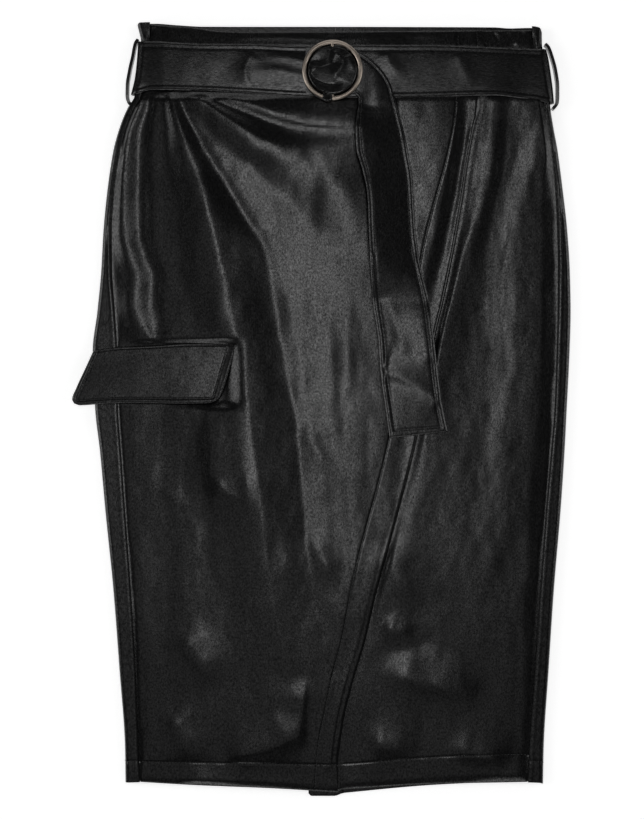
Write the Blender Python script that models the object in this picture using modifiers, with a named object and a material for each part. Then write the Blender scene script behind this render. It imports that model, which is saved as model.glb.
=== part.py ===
"""High-waist wrap midi skirt in black leatherette with its own ring belt, laid out flat.

Metres, +Z up. The skirt lies on the plane z = 0 with its waist towards +Y, its front up and the
wearer's right side at -X. The origin is the middle of the laid garment's footprint, on that plane.
Sizes and tables are in millimetres and MM turns them into metres. Right and left are the wearer's.

Layers from the surface up: the belt's back stretch, the two back panels, the hollow for the body,
the under front, the wrap front laid over it, then the pocket flap, the belt's front, its tail and
the ring. The back panels turn over both side folds and meet the fronts at seams on the front.
"""
import math
from typing import NamedTuple

import bmesh
import bpy
import numpy as np

MM = 0.001

# Cloth, straps and the clearances between pieces
WALL = 1.2
STRAP = 2.0
FLAP_THICK = 2.2
GAP = 0.3

# Heights of the layers
HOLLOW = 6.0
BACK_LIFT = STRAP + GAP
SKIRT_LOW = WALL + HOLLOW
WAIST_LOW = BACK_LIFT + WALL + HOLLOW
SIDE_FOLD = (HOLLOW + 2 * WALL) / 2
OVER_LIFT = WALL + GAP
BELT_END_TOP = WAIST_LOW + WALL + GAP + STRAP
BELT_TOP = BELT_END_TOP + OVER_LIFT

# Where the layers rise from the skirt's heights to the waist's
FRONT_RISE = (225.0, 258.0)
BACK_RISE = (262.0, 290.0)

# Centre-back seam and its vent
CENTRE_BACK = 13.0
VENT_HEIGHT = 180.0
VENT_WIDTH = 26.0
VENT_SEWN = 8.0
VENT_LOW = -372.3
VENT_SEWN_LOW = -369.6
VENT_SEAM_LOW = -370.6
VENT_CORNER = (3.2, 0.9, 3.0)

# Ring buckle: a round wire with a bar across it
RING_OUTER = 58.0
RING_WIRE = 4.4
RING_BAR = 2.8
RING_PLACE = (9.9, 324.6)
RING_HEIGHTS = (17.0, 19.6)

# Belt loops: strips that stand on edge round the belt's end folds
LOOP_THICK = 2.2
LOOP_HEIGHTS = (1.8, 11.2)

# Distances over which layers and folds ease in and out
OVER_LIFT_START = 8.0
OVER_LIFT_STOP = 4.0
FOLD_FADE_IN = 0.12
FOLD_FADE_OUT = 0.35
SEAM_FLAT = (1.0, 14.0)
WRAP_FADE = 16.0
BELT_FADE = 30.0
TAIL_FADE = (25.0, 4.0)

# Mesh counts
ROW_PITCH = 22.0
HEM_ROW = -348.0
LOWEST_ROW = -330.0
UPPER_ROWS = (218.0, 234.0, 248.0, 262.0, 276.0, 290.0, 300.0, 326.0, 352.0)
OVER_COLUMNS = 24
HIDDEN_COLUMNS = 5
SHOWN_COLUMNS = 11
BACK_COLUMNS = 3
FOLD_COLUMNS = 6
WRAPPED_COLUMNS = 1
BELT_COLUMNS = (9, 6, 8)
BELT_ROWS = 3
TAIL_COLUMNS = 34
TAIL_ROWS = 4
KNOT_COLUMNS = 24
KNOT_ROWS = 8
FLAP_COLUMNS = 14
FLAP_ROWS = 6


class Level(NamedTuple):
    """The laid skirt's outline and side seams at one height."""

    y: float
    right_fold: float
    right_seam: float
    left_seam: float
    left_fold: float


class Edge(NamedTuple):
    """A point of an edge that runs across or along a piece."""

    along: float
    place: float


class Fold(NamedTuple):
    """A crest of the front, from its start through its middle to its end."""

    start: tuple
    middle: tuple
    end: tuple
    height: float
    width: float


class Section(NamedTuple):
    """A cut across a strap, from its inner edge to its outer edge."""

    inner: tuple
    outer: tuple


class KnotSection(NamedTuple):
    """A cut across the bunched strap: its lower edge, middle and upper edge, each with a height."""

    lower: tuple
    middle: tuple
    upper: tuple


LEVELS = (
    Level(372.0, -178.0, -165.0, 201.0, 211.5),
    Level(350.0, -173.7, -166.0, 203.0, 211.8),
    Level(338.0, -175.4, -168.0, 205.0, 214.8),
    Level(326.0, -176.8, -169.6, 207.0, 216.6),
    Level(301.0, -180.6, -174.0, 211.8, 219.0),
    Level(292.0, -186.2, -179.5, 214.1, 219.6),
    Level(273.0, -194.4, -187.7, 217.0, 222.6),
    Level(249.0, -201.1, -193.9, 220.3, 227.0),
    Level(211.0, -206.9, -199.7, 224.2, 232.1),
    Level(172.0, -210.7, -202.1, 226.1, 236.4),
    Level(134.0, -212.8, -201.8, 226.8, 238.8),
    Level(95.0, -216.5, -199.2, 226.5, 239.6),
    Level(57.0, -221.0, -197.0, 225.6, 238.6),
    Level(0.0, -218.6, -196.1, 223.5, 235.8),
    Level(-39.0, -214.1, -193.4, 220.3, 233.8),
    Level(-97.0, -208.8, -189.3, 215.3, 229.9),
    Level(-173.0, -201.1, -183.8, 209.8, 223.5),
    Level(-250.0, -195.2, -179.3, 204.7, 218.4),
    Level(-327.0, -189.8, -176.4, 199.2, 213.6),
    Level(-372.0, -189.2, -174.0, 197.0, 212.8),
)

WRAP_EDGE = (
    Edge(372.0, 148.3), Edge(326.0, 150.5), Edge(292.0, 151.7), Edge(273.0, 147.1),
    Edge(239.0, 140.8), Edge(204.0, 135.7), Edge(163.0, 128.7), Edge(105.0, 117.0),
    Edge(74.0, 109.6), Edge(-26.0, 91.7), Edge(-113.0, 69.6), Edge(-176.0, 52.3),
    Edge(-221.0, 41.8), Edge(-263.0, 29.3), Edge(-300.0, 20.6), Edge(-342.0, 15.8),
    Edge(-372.0, 15.4),
)
WRAP_CORNER = 15.6
WRAP_FLAT = 3.0

OVER_HEM = (Edge(-174.2, -357.6), Edge(-124.0, -360.5), Edge(-49.0, -363.4), Edge(14.0, -367.0))
UNDER_HEM = (Edge(15.8, -364.8), Edge(104.0, -359.5), Edge(197.0, -357.6))
RIGHT_BACK_HEM = (Edge(-189.4, -358.2), Edge(-174.0, -357.8), Edge(13.0, -362.0))
LEFT_BACK_HEM = (Edge(13.0, -370.4), Edge(104.0, -362.1), Edge(152.0, -359.7), Edge(197.0, -358.0),
                 Edge(209.0, -358.4), Edge(212.9, -359.6))
FRONT_WAIST = (Edge(-165.0, 370.5), Edge(-149.0, 369.4), Edge(-127.0, 367.6), Edge(-98.0, 363.6),
               Edge(-79.0, 362.9), Edge(147.0, 364.3), Edge(201.0, 365.0))
BACK_WAIST = (Edge(-178.1, 369.0), Edge(-175.2, 371.9), Edge(-160.0, 372.3), Edge(-142.0, 369.2),
              Edge(-114.0, 367.2), Edge(0.0, 367.2), Edge(167.0, 366.5), Edge(180.0, 365.6),
              Edge(202.0, 366.2), Edge(209.0, 365.2), Edge(211.6, 362.5))

# Folds of the fronts: the fan from the belt, the folds over the flap, the middle, and the lower part
FOLDS = (
    Fold((-142.7, 302.0), (-111.5, 193.0), (-84.0, 66.0), 8.0, 11.0),
    Fold((-139.0, 302.0), (-91.3, 229.5), (-46.0, 150.0), 5.5, 16.0),
    Fold((-120.7, 302.0), (-67.4, 260.8), (8.0, 230.0), 4.5, 13.0),
    Fold((-85.7, 300.0), (-20.6, 278.0), (36.0, 272.0), 4.0, 9.0),
    Fold((-171.2, 302.0), (-188.5, 214.8), (-180.3, 130.0), 4.5, 7.0),
    Fold((-161.1, 302.0), (-160.0, 239.5), (-153.0, 188.0), 6.0, 9.0),
    Fold((-179.0, 150.0), (-180.0, 112.0), (-164.0, 66.0), 4.0, 9.0),
    Fold((-160.0, 185.0), (-153.0, 129.0), (-164.0, 70.0), 4.5, 9.0),
    Fold((6.2, 245.0), (11.0, 178.0), (12.0, 60.0), 3.5, 13.0),
    Fold((-24.5, 225.0), (-14.9, 105.0), (-20.6, -20.0), 3.5, 16.0),
    Fold((-1.4, 0.0), (-5.3, -106.0), (-11.0, -200.0), 4.5, 14.0),
    Fold((-70.0, 90.0), (-78.0, -15.0), (-74.0, -125.0), 5.0, 15.0),
    Fold((-73.4, -90.0), (-57.0, -202.0), (-30.0, -290.0), 4.0, 16.0),
    Fold((-150.2, -170.0), (-118.6, -241.4), (-90.0, -300.0), 4.5, 13.0),
    Fold((-160.0, -262.0), (-134.0, -315.0), (-112.0, -355.0), 3.5, 11.0),
    Fold((-1.4, -221.3), (-17.8, -279.0), (-25.4, -355.0), 4.5, 11.0),
    Fold((160.0, 302.0), (148.0, 230.0), (150.0, 150.0), 3.5, 8.0),
    Fold((187.0, 302.0), (182.0, 191.5), (171.4, 50.0), 7.5, 17.0),
    Fold((171.4, 75.0), (168.0, -29.0), (150.0, -120.0), 4.0, 20.0),
    Fold((37.0, -231.0), (99.4, -235.7), (180.0, -250.0), 4.5, 14.0),
    Fold((190.6, -215.0), (142.6, -279.0), (66.0, -318.0), 4.0, 13.0),
    Fold((60.0, -140.0), (104.0, -178.0), (112.0, -232.0), 4.0, 14.0),
    Fold((-40.0, 180.0), (-30.0, 60.0), (-40.0, -120.0), 2.5, 75.0),
)

FLAP_SIDE = (Edge(0.0, -219.4), Edge(0.35, -227.5), Edge(0.7, -235.5), Edge(0.92, -239.5),
             Edge(1.0, -237.6))
FLAP_TOP = (Edge(-219.4, 57.1), Edge(-197.0, 60.5), Edge(-165.0, 61.9), Edge(-126.0, 63.8),
            Edge(-81.1, 63.8))
FLAP_BOTTOM = (Edge(-237.6, 6.2), Edge(-232.0, 4.4), Edge(-217.0, 5.3), Edge(-184.0, 6.6),
               Edge(-136.0, 5.8), Edge(-110.0, 6.3), Edge(-103.0, 8.2), Edge(-98.5, 10.5))
FLAP_FRONT = (Edge(0.0, -81.1), Edge(0.35, -86.5), Edge(0.75, -92.8), Edge(0.93, -96.0),
              Edge(1.0, -98.5))
FLAP_STAND_OFF = 2.0
FLAP_STAND_START = 0.15
FLAP_CLEAR = (-70.0, -52.0)
FLAP_CLEAR_TOP = (66.0, 88.0)
FLAP_CLEAR_BOTTOM = (0.0, -22.0)

BELT_UPPER = (Edge(-178.0, 353.6), Edge(-117.0, 350.9), Edge(-72.5, 350.9), Edge(-20.6, 349.0),
              Edge(43.7, 349.9), Edge(108.0, 349.9), Edge(171.0, 347.6), Edge(215.0, 346.4))
BELT_LOWER = (Edge(-184.0, 303.0), Edge(-170.0, 306.8), Edge(-117.0, 305.8), Edge(-72.5, 303.4),
              Edge(-11.0, 300.0), Edge(71.0, 299.0), Edge(171.0, 301.4), Edge(190.0, 299.8),
              Edge(215.0, 296.4), Edge(222.0, 294.6))
BELT_RIGHT_END = (Edge(354.0, -176.9), Edge(338.0, -178.0), Edge(320.0, -180.0), Edge(303.0, -183.9))
BELT_LEFT_END = (Edge(348.0, 215.2), Edge(339.0, 217.6), Edge(322.0, 220.3), Edge(307.0, 222.2),
                 Edge(295.0, 223.2))
BELT_CORNER_LEVEL = 300.0
BELT_FRONT_START = 12.0
BELT_FRONT_STOP = -18.8
BELT_RIGHT_RISE = (-172.0, -150.0)
BELT_LEFT_FALL = (158.0, 200.0)

TAIL = (
    Section((31.6, 303.0), (31.6, 345.0)),
    Section((32.5, 300.5), (40.0, 340.5)),
    Section((33.6, 299.3), (50.0, 332.5)),
    Section((34.4, 298.3), (58.5, 323.5)),
    Section((34.6, 296.5), (65.3, 312.3)),
    Section((34.0, 291.0), (69.5, 299.0)),
    Section((32.6, 281.0), (74.5, 281.0)),
    Section((32.0, 268.0), (79.0, 264.0)),
    Section((32.8, 250.0), (83.0, 243.0)),
    Section((38.9, 228.0), (86.5, 222.0)),
    Section((43.5, 204.0), (88.0, 196.0)),
    Section((44.8, 169.5), (89.5, 172.0)),
    Section((46.6, 135.3), (94.5, 138.0)),
    Section((49.2, 101.0), (102.5, 104.0)),
    Section((54.2, 66.7), (107.0, 69.0)),
    Section((56.2, 36.0), (111.0, 34.0)),
    Section((60.5, 5.0), (115.5, 3.0)),
    Section((64.8, -27.0), (120.5, -20.8)),
)
TAIL_DROP = (296.0, 268.0)
TAIL_EASE = 0.5
TAIL_EASE_RISE = (195.0, 225.0)
TAIL_CLEAR = (4.0, 18.0)

KNOT_WALL = 1.8
KNOT = (
    KnotSection((-18.5, 301.5, 12.5), (-18.5, 325.0, 12.5), (-18.5, 348.5, 12.5)),
    KnotSection((-12.5, 303.0, 12.6), (-12.0, 325.0, 12.6), (-12.5, 346.5, 12.6)),
    KnotSection((-7.5, 309.0, 12.9), (-7.5, 325.0, 13.6), (-7.5, 340.4, 12.9)),
    KnotSection((-5.0, 307.5, 16.0), (-4.0, 325.0, 15.6), (-4.5, 341.5, 14.8)),
    KnotSection((-2.4, 305.6, 21.2), (0.0, 325.0, 18.2), (-1.0, 343.0, 17.2)),
    KnotSection((-0.5, 299.6, 21.4), (3.5, 325.0, 20.2), (3.0, 344.0, 19.4)),
    KnotSection((3.0, 296.4, 21.6), (7.0, 325.0, 21.2), (7.0, 344.8, 20.6)),
    KnotSection((8.0, 297.6, 21.6), (10.5, 325.0, 21.4), (11.0, 345.0, 20.8)),
    KnotSection((11.5, 302.4, 21.4), (14.0, 325.0, 20.8), (15.0, 344.2, 19.6)),
    KnotSection((17.0, 305.5, 19.0), (18.0, 325.0, 19.2), (19.0, 342.6, 18.0)),
    KnotSection((22.5, 308.0, 16.8), (23.0, 325.0, 17.0), (23.5, 340.0, 16.4)),
    KnotSection((27.0, 310.0, 15.1), (27.0, 325.0, 15.4), (27.0, 339.0, 15.1)),
    KnotSection((31.2, 303.2, 14.8), (31.2, 325.0, 14.8), (31.2, 344.8, 14.8)),
)

RIGHT_LOOP = ((-176.7, 356.1), (-179.2, 352.3), (-182.1, 338.4), (-184.8, 326.4), (-187.0, 311.8),
              (-187.2, 302.0), (-185.7, 295.7))
LEFT_LOOP = ((214.5, 351.8), (217.4, 348.6), (221.2, 338.4), (224.4, 326.2), (226.4, 309.6),
             (226.4, 301.6), (225.9, 295.2), (221.6, 289.0))


def through(edge):
    """Return a smooth function through an edge's points that never overshoots them."""
    rows = sorted((float(point[0]), float(point[1])) for point in edge)
    along = np.array([row[0] for row in rows])
    place = np.array([row[1] for row in rows])
    step = np.diff(along)
    slope = np.diff(place) / step
    tangent = np.zeros_like(place)
    tangent[0] = slope[0]
    tangent[-1] = slope[-1]
    product = slope[:-1] * slope[1:]
    total = slope[:-1] + slope[1:]
    same = product > 0
    tangent[1:-1][same] = 2 * product[same] / total[same]

    def at(where):
        q = np.clip(np.asarray(where, float), along[0], along[-1])
        i = np.clip(np.searchsorted(along, q, side="right") - 1, 0, len(step) - 1)
        t = (q - along[i]) / step[i]
        return ((2 * t**3 - 3 * t**2 + 1) * place[i] + (t**3 - 2 * t**2 + t) * step[i] * tangent[i]
                + (3 * t**2 - 2 * t**3) * place[i + 1] + (t**3 - t**2) * step[i] * tangent[i + 1])

    return at


def ease(value, start, stop):
    """Return 0 at start, 1 at stop and a smooth step between them."""
    t = np.clip((np.asarray(value, float) - start) / (stop - start), 0.0, 1.0)
    return t * t * (3 - 2 * t)


right_fold = through([(level.y, level.right_fold) for level in LEVELS])
right_seam = through([(level.y, level.right_seam) for level in LEVELS])
left_seam = through([(level.y, level.left_seam) for level in LEVELS])
left_fold = through([(level.y, level.left_fold) for level in LEVELS])
wrap_edge = through(WRAP_EDGE)
tail_inner = through([(section.inner[1], section.inner[0]) for section in TAIL])
tail_outer = through([(section.outer[1], section.outer[0]) for section in TAIL])


def under_edge(y):
    """Return the hidden edge of the under front, cut as a mirror of the wrap front's edge."""
    return 2 * WRAP_CORNER - wrap_edge(y) + GAP


def back_height(y):
    """Return the height of the back panels' outer face, which rises over the belt."""
    return BACK_LIFT * ease(y, *BACK_RISE)


def front_height(y):
    """Return the height of the lowest front layer's inner face."""
    return SKIRT_LOW + (WAIST_LOW - SKIRT_LOW) * ease(y, *FRONT_RISE)


def over_lift(x, y):
    """Return how far the wrap front is raised by the under front that it lies on."""
    return OVER_LIFT * ease(x, right_seam(y) + OVER_LIFT_START, under_edge(y) - OVER_LIFT_STOP)


def crest(fold, x, y):
    """Return one fold's height at the points, fading across its width and at its ends."""
    start, middle, end = (np.array(point) for point in (fold.start, fold.middle, fold.end))
    pull = 2 * middle - (start + end) / 2
    steps = np.linspace(0.0, 1.0, 17)[:, None]
    line = (1 - steps)**2 * start + 2 * steps * (1 - steps) * pull + steps**2 * end
    nearest = np.full(np.shape(x), np.inf)
    share = np.zeros(np.shape(x))
    for index, (a, b) in enumerate(zip(line[:-1], line[1:])):
        run = b - a
        t = np.clip(((x - a[0]) * run[0] + (y - a[1]) * run[1]) / (run @ run), 0.0, 1.0)
        away = np.hypot(x - a[0] - t * run[0], y - a[1] - t * run[1])
        closer = away < nearest
        nearest = np.where(closer, away, nearest)
        share = np.where(closer, (index + t) / (len(line) - 1), share)
    ends = ease(share, 0.0, FOLD_FADE_IN) * ease(share, 1.0, 1.0 - FOLD_FADE_OUT)
    return fold.height * np.exp(-(nearest / fold.width)**2) * ends


def drape(x, y):
    """Return how high the fronts' folds stand, flat at seams, edges, belt, flap and tail."""
    x, y = np.broadcast_arrays(np.asarray(x, float), np.asarray(y, float))
    height = sum(crest(fold, x, y) for fold in FOLDS)
    height = height * ease(x - right_seam(y), *SEAM_FLAT) * ease(left_seam(y) - x, *SEAM_FLAT)
    height = height * ease(np.abs(x - wrap_edge(y)), WRAP_FLAT, WRAP_FLAT + WRAP_FADE)
    height = height * ease(y, BACK_RISE[1], BACK_RISE[1] - BELT_FADE)
    by_flap = ease(x, *FLAP_CLEAR[::-1])
    by_flap = by_flap * ease(y, *FLAP_CLEAR_TOP[::-1]) * ease(y, *FLAP_CLEAR_BOTTOM[::-1])
    before = ease(x, tail_inner(y) - TAIL_CLEAR[1], tail_inner(y) - TAIL_CLEAR[0])
    behind = ease(x, tail_outer(y) + TAIL_CLEAR[1], tail_outer(y) + TAIL_CLEAR[0])
    end = TAIL[-1].inner[1]
    by_tail = before * behind * ease(y, end - TAIL_FADE[0], end - TAIL_FADE[1])
    return height * (1 - by_flap) * (1 - by_tail)


def row_heights():
    """Return the heights of the mesh rows between hem and waist, the same for all the panels."""
    lower = np.arange(LOWEST_ROW, UPPER_ROWS[0] - ROW_PITCH / 2, ROW_PITCH)
    return np.concatenate(([HEM_ROW], lower, UPPER_ROWS))


def panel_rows(v, hem, waist, rows):
    """Return each point's height: the hem's or waist's own at the ends, fixed rows between."""
    index = np.rint(v * (len(rows) + 1)).astype(int)
    inner = rows[np.clip(index - 1, 0, len(rows) - 1)]
    return np.where(index == 0, hem, np.where(index > len(rows), waist, inner))


def cloth(name, columns, rows, place, thickness, material):
    """Build a wall from a grid laid through place(u, v), its outer face, thickened inwards."""
    mesh = bpy.data.meshes.new(name)
    bm = bmesh.new()
    bmesh.ops.create_grid(bm, x_segments=columns, y_segments=rows, size=0.5)
    u = np.array([vert.co.x + 0.5 for vert in bm.verts])
    v = np.array([vert.co.y + 0.5 for vert in bm.verts])
    points = np.stack(place(u, v), axis=-1) * MM
    for vert, point in zip(bm.verts, points):
        vert.co = point
    bm.to_mesh(mesh)
    bm.free()
    mesh.shade_smooth()
    piece = bpy.data.objects.new(name, mesh)
    wall = piece.modifiers.new("Wall", "SOLIDIFY")
    wall.thickness = thickness * MM
    wall.offset = -1.0
    return finish(piece, material)


def finish(piece, material):
    """Give a piece its material and put it in the skirt's collection."""
    piece.data.materials.clear()
    piece.data.materials.append(material)
    for owner in piece.users_collection:
        owner.objects.unlink(piece)
    bpy.data.collections["midi_skirt"].objects.link(piece)
    return piece


def slab(name, outline, low, high, material):
    """Build a flat or edge-on strip from its outline between two heights."""
    curve = bpy.data.curves.new(name, "CURVE")
    curve.dimensions = "2D"
    curve.fill_mode = "BOTH"
    curve.extrude = (high - low) / 2 * MM
    spline = curve.splines.new("POLY")
    spline.points.add(len(outline) - 1)
    for point, (x, y) in zip(spline.points, outline):
        point.co = (x * MM, y * MM, 0.0, 1.0)
    spline.use_cyclic_u = True
    piece = bpy.data.objects.new(name, curve)
    piece.location.z = (high + low) / 2 * MM
    return finish(piece, material)


def make_material(name, colour, roughness, metallic):
    """Return a Principled material."""
    material = bpy.data.materials.new(name)
    material.use_nodes = True
    shader = material.node_tree.nodes["Principled BSDF"]
    shader.inputs["Base Color"].default_value = (*colour, 1.0)
    shader.inputs["Roughness"].default_value = roughness
    shader.inputs["Metallic"].default_value = metallic
    return material


def build_front_over(material):
    """Build the wrap front, from the right side seam to its free edge."""
    hem, waist, rows = through(OVER_HEM), through(FRONT_WAIST), row_heights()

    def place(u, v):
        def across(y):
            return right_seam(y) + GAP / 2 + u * (wrap_edge(y) - right_seam(y) - GAP / 2)

        y = panel_rows(v, hem(across(LEVELS[-1].y)), waist(across(LEVELS[0].y)), rows)
        x = across(y)
        return x, y, front_height(y) + WALL + over_lift(x, y) + drape(x, y)

    return cloth("front_over", OVER_COLUMNS, len(rows) + 1, place, WALL, material)


def build_front_under(material):
    """Build the under front, from its hidden edge to the left side seam."""
    hem, waist, rows = through(UNDER_HEM), through(FRONT_WAIST), row_heights()
    columns = HIDDEN_COLUMNS + SHOWN_COLUMNS

    def place(u, v):
        hidden = np.clip(u * columns / HIDDEN_COLUMNS, 0.0, 1.0)
        shown = np.clip((u * columns - HIDDEN_COLUMNS) / SHOWN_COLUMNS, 0.0, 1.0)

        def across(y):
            start, bare = under_edge(y), wrap_edge(y) + WRAP_FLAT
            return start + hidden * (bare - start) + shown * (left_seam(y) - GAP / 2 - bare)

        y = panel_rows(v, hem(across(LEVELS[-1].y)), waist(across(LEVELS[0].y)), rows)
        x = across(y)
        return x, y, front_height(y) + WALL + drape(x, y) * (shown > 0)

    return cloth("front_under", columns, len(rows) + 1, place, WALL, material)


def back_section(u, y, flat_end, fold, seam, side):
    """Return x and height along a back panel: its flat, its side fold and the part on the front."""
    columns = BACK_COLUMNS + FOLD_COLUMNS + WRAPPED_COLUMNS
    step = u * columns
    flat = np.clip(step / BACK_COLUMNS, 0.0, 1.0)
    turn = np.clip((step - BACK_COLUMNS) / FOLD_COLUMNS, 0.0, 1.0) * math.pi
    wrapped = np.clip((step - BACK_COLUMNS - FOLD_COLUMNS) / WRAPPED_COLUMNS, 0.0, 1.0)
    middle = fold - side * SIDE_FOLD
    top = front_height(y) + WALL
    low = back_height(y)
    radius = (top - low) / 2
    x = np.where(turn > 0, middle + side * SIDE_FOLD * np.sin(turn), flat_end + flat * (middle - flat_end))
    x = np.where(wrapped > 0, middle + wrapped * (seam - middle), x)
    return x, low + radius * (1 - np.cos(turn))


def build_back(name, side, fold, seam, hem, material):
    """Build one back panel, from the centre-back seam round its side fold to its seam."""
    waist, rows = through(BACK_WAIST), row_heights()
    flat_end = CENTRE_BACK + side * GAP / 2

    def section(u, y):
        return back_section(u, y, flat_end, fold(y), seam(y) + side * GAP / 2, side)

    def place(u, v):
        u = u if side < 0 else 1 - u
        lowest, highest = section(u, LEVELS[-1].y)[0], section(u, LEVELS[0].y)[0]
        y = panel_rows(v, through(hem)(lowest), waist(highest), rows)
        x, z = section(u, y)
        return x, y, z

    columns = BACK_COLUMNS + FOLD_COLUMNS + WRAPPED_COLUMNS
    return cloth(name, columns, len(rows) + 1, place, WALL, material)


def build_vent_underlap(material):
    """Build the underlap of the centre-back vent, which lies on the right back panel."""
    inner = CENTRE_BACK - VENT_WIDTH
    sewn = CENTRE_BACK + VENT_SEWN
    along, bevel, up = VENT_CORNER
    outline = [(sewn, VENT_SEWN_LOW), (sewn, VENT_LOW + VENT_HEIGHT + VENT_WIDTH),
               (inner, VENT_LOW + VENT_HEIGHT), (inner, VENT_LOW + up),
               (inner + 1.0, VENT_LOW + bevel), (inner + along, VENT_LOW),
               (CENTRE_BACK - 1.0, VENT_SEAM_LOW)]
    low = WALL + GAP
    return slab("vent_underlap", outline[::-1], low, low + WALL, material)


def build_belt_band(material):
    """Build the belt round the waist, from under its tail round the back to the ring."""
    upper, lower = through(BELT_UPPER), through(BELT_LOWER)
    right_end, left_end = through(BELT_RIGHT_END), through(BELT_LEFT_END)
    front, turn, back = BELT_COLUMNS
    columns = 2 * (front + turn) + back
    radius = BELT_END_TOP / 2
    corner = np.array([left_end(BELT_CORNER_LEVEL), right_end(BELT_CORNER_LEVEL)])

    def place(u, v):
        step = u * columns
        left_run = np.clip(step / front, 0.0, 1.0)
        left_turn = np.clip((step - front) / turn, 0.0, 1.0)
        back_run = np.clip((step - front - turn) / back, 0.0, 1.0)
        right_turn = np.clip((step - front - turn - back) / turn, 0.0, 1.0)
        right_run = np.clip((step - front - 2 * turn - back) / front, 0.0, 1.0)
        nominal = BELT_FRONT_START + left_run * (corner[0] - BELT_FRONT_START)
        nominal = nominal + back_run * (corner[1] - corner[0]) + right_run * (BELT_FRONT_STOP - corner[1])
        y = lower(nominal) + v * (upper(nominal) - lower(nominal))
        flat_y = lower(corner[0]) + v * (upper(corner[0]) - lower(corner[0]))
        flat_y = flat_y + back_run * (lower(corner[1]) - lower(corner[0]))
        y = np.where((back_run > 0) & (back_run < 1), flat_y, y)
        left_x, right_x = left_end(y) - radius, right_end(y) + radius
        x = BELT_FRONT_START + left_run * (left_x - BELT_FRONT_START)
        x = np.where(left_turn > 0, left_x + radius * np.sin(math.pi * left_turn), x)
        x = np.where(back_run > 0, left_x + back_run * (right_x - left_x), x)
        x = np.where(right_turn > 0, right_x - radius * np.sin(math.pi * right_turn), x)
        x = np.where(right_run > 0, right_x + right_run * (BELT_FRONT_STOP - right_x), x)
        raised = ease(x, *BELT_RIGHT_RISE) * ease(x, *BELT_LEFT_FALL[::-1])
        top = BELT_END_TOP + (BELT_TOP - BELT_END_TOP) * raised
        turned = left_turn - right_turn
        z = np.where((left_turn == 0) | (right_turn == 1), top, radius * (1 + np.cos(math.pi * turned)))
        return x, y, z

    return cloth("belt_band", columns, BELT_ROWS, place, STRAP, material)


def build_belt_tail(material):
    """Build the belt's hanging end, turned down from the ring over the wrap front."""
    spacing = np.linspace(0.0, 1.0, len(TAIL))
    inner_x, inner_y, outer_x, outer_y = (
        through(zip(spacing, [getattr(section, side)[axis] for section in TAIL]))
        for side in ("inner", "outer") for axis in (0, 1))

    def place(u, v):
        x = inner_x(u) + v * (outer_x(u) - inner_x(u))
        y = inner_y(u) + v * (outer_y(u) - inner_y(u))
        rest = front_height(y) + WALL + OVER_LIFT + GAP
        rest = rest + TAIL_EASE * ease(y, *TAIL_EASE_RISE)
        on_belt = BELT_TOP + GAP
        low = rest + (on_belt - rest) * ease(y, *TAIL_DROP[::-1])
        return x, y, low + STRAP

    return cloth("belt_tail", TAIL_COLUMNS, TAIL_ROWS, place, STRAP, material)


def build_belt_knot(material):
    """Build the strap bunched inside the ring, over its bar and over its lower arc."""
    spacing = np.linspace(0.0, 1.0, len(KNOT))
    rails = {side: [through(zip(spacing, [getattr(section, side)[axis] for section in KNOT]))
                    for axis in range(3)] for side in KnotSection._fields}

    def place(u, v):
        lower, middle, upper = (np.stack([rail(u) for rail in rails[side]]) for side in KnotSection._fields)
        point = np.where(v < 0.5, lower + 2 * v * (middle - lower), middle + (2 * v - 1) * (upper - middle))
        return point[0], point[1], point[2] + KNOT_WALL

    return cloth("belt_knot", KNOT_COLUMNS, KNOT_ROWS, place, KNOT_WALL, material)


def build_belt_ring(material):
    """Build the round buckle with the bar that crosses it."""
    middle = (RING_HEIGHTS[0] + RING_HEIGHTS[1]) / 2
    across = RING_OUTER - RING_WIRE
    place = (RING_PLACE[0] * MM, RING_PLACE[1] * MM, middle * MM)
    tilt = -math.asin((RING_HEIGHTS[1] - RING_HEIGHTS[0]) / across)
    bpy.ops.mesh.primitive_torus_add(major_radius=across / 2 * MM, minor_radius=RING_WIRE / 2 * MM,
                                     major_segments=40, minor_segments=10,
                                     location=place, rotation=(0.0, tilt, 0.0))
    ring = bpy.context.object
    ring.name = "belt_ring"
    bpy.ops.mesh.primitive_cylinder_add(vertices=10, radius=RING_BAR / 2 * MM, depth=across * MM,
                                        location=place, rotation=(math.pi / 2, 0.0, 0.0))
    bar = bpy.context.object
    bar.name = "ring_bar_union"
    bar.hide_render = True
    bar.display_type = "WIRE"
    for owner in bar.users_collection:
        owner.objects.unlink(bar)
    bpy.data.collections["cutters"].objects.link(bar)
    join = ring.modifiers.new("Bar", "BOOLEAN")
    join.operation = "UNION"
    join.object = bar
    ring.data.shade_smooth()
    return finish(ring, material)


def build_loop(name, path, material):
    """Build a belt loop, a strip on edge along its path."""
    line = np.array(path)
    run = np.gradient(line, axis=0)
    side = np.stack([-run[:, 1], run[:, 0]], axis=1) / np.hypot(run[:, 0], run[:, 1])[:, None]
    edge = side * LOOP_THICK / 2
    outline = np.concatenate([line + edge, (line - edge)[::-1]])
    return slab(name, outline, LOOP_HEIGHTS[0], LOOP_HEIGHTS[1], material)


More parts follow.
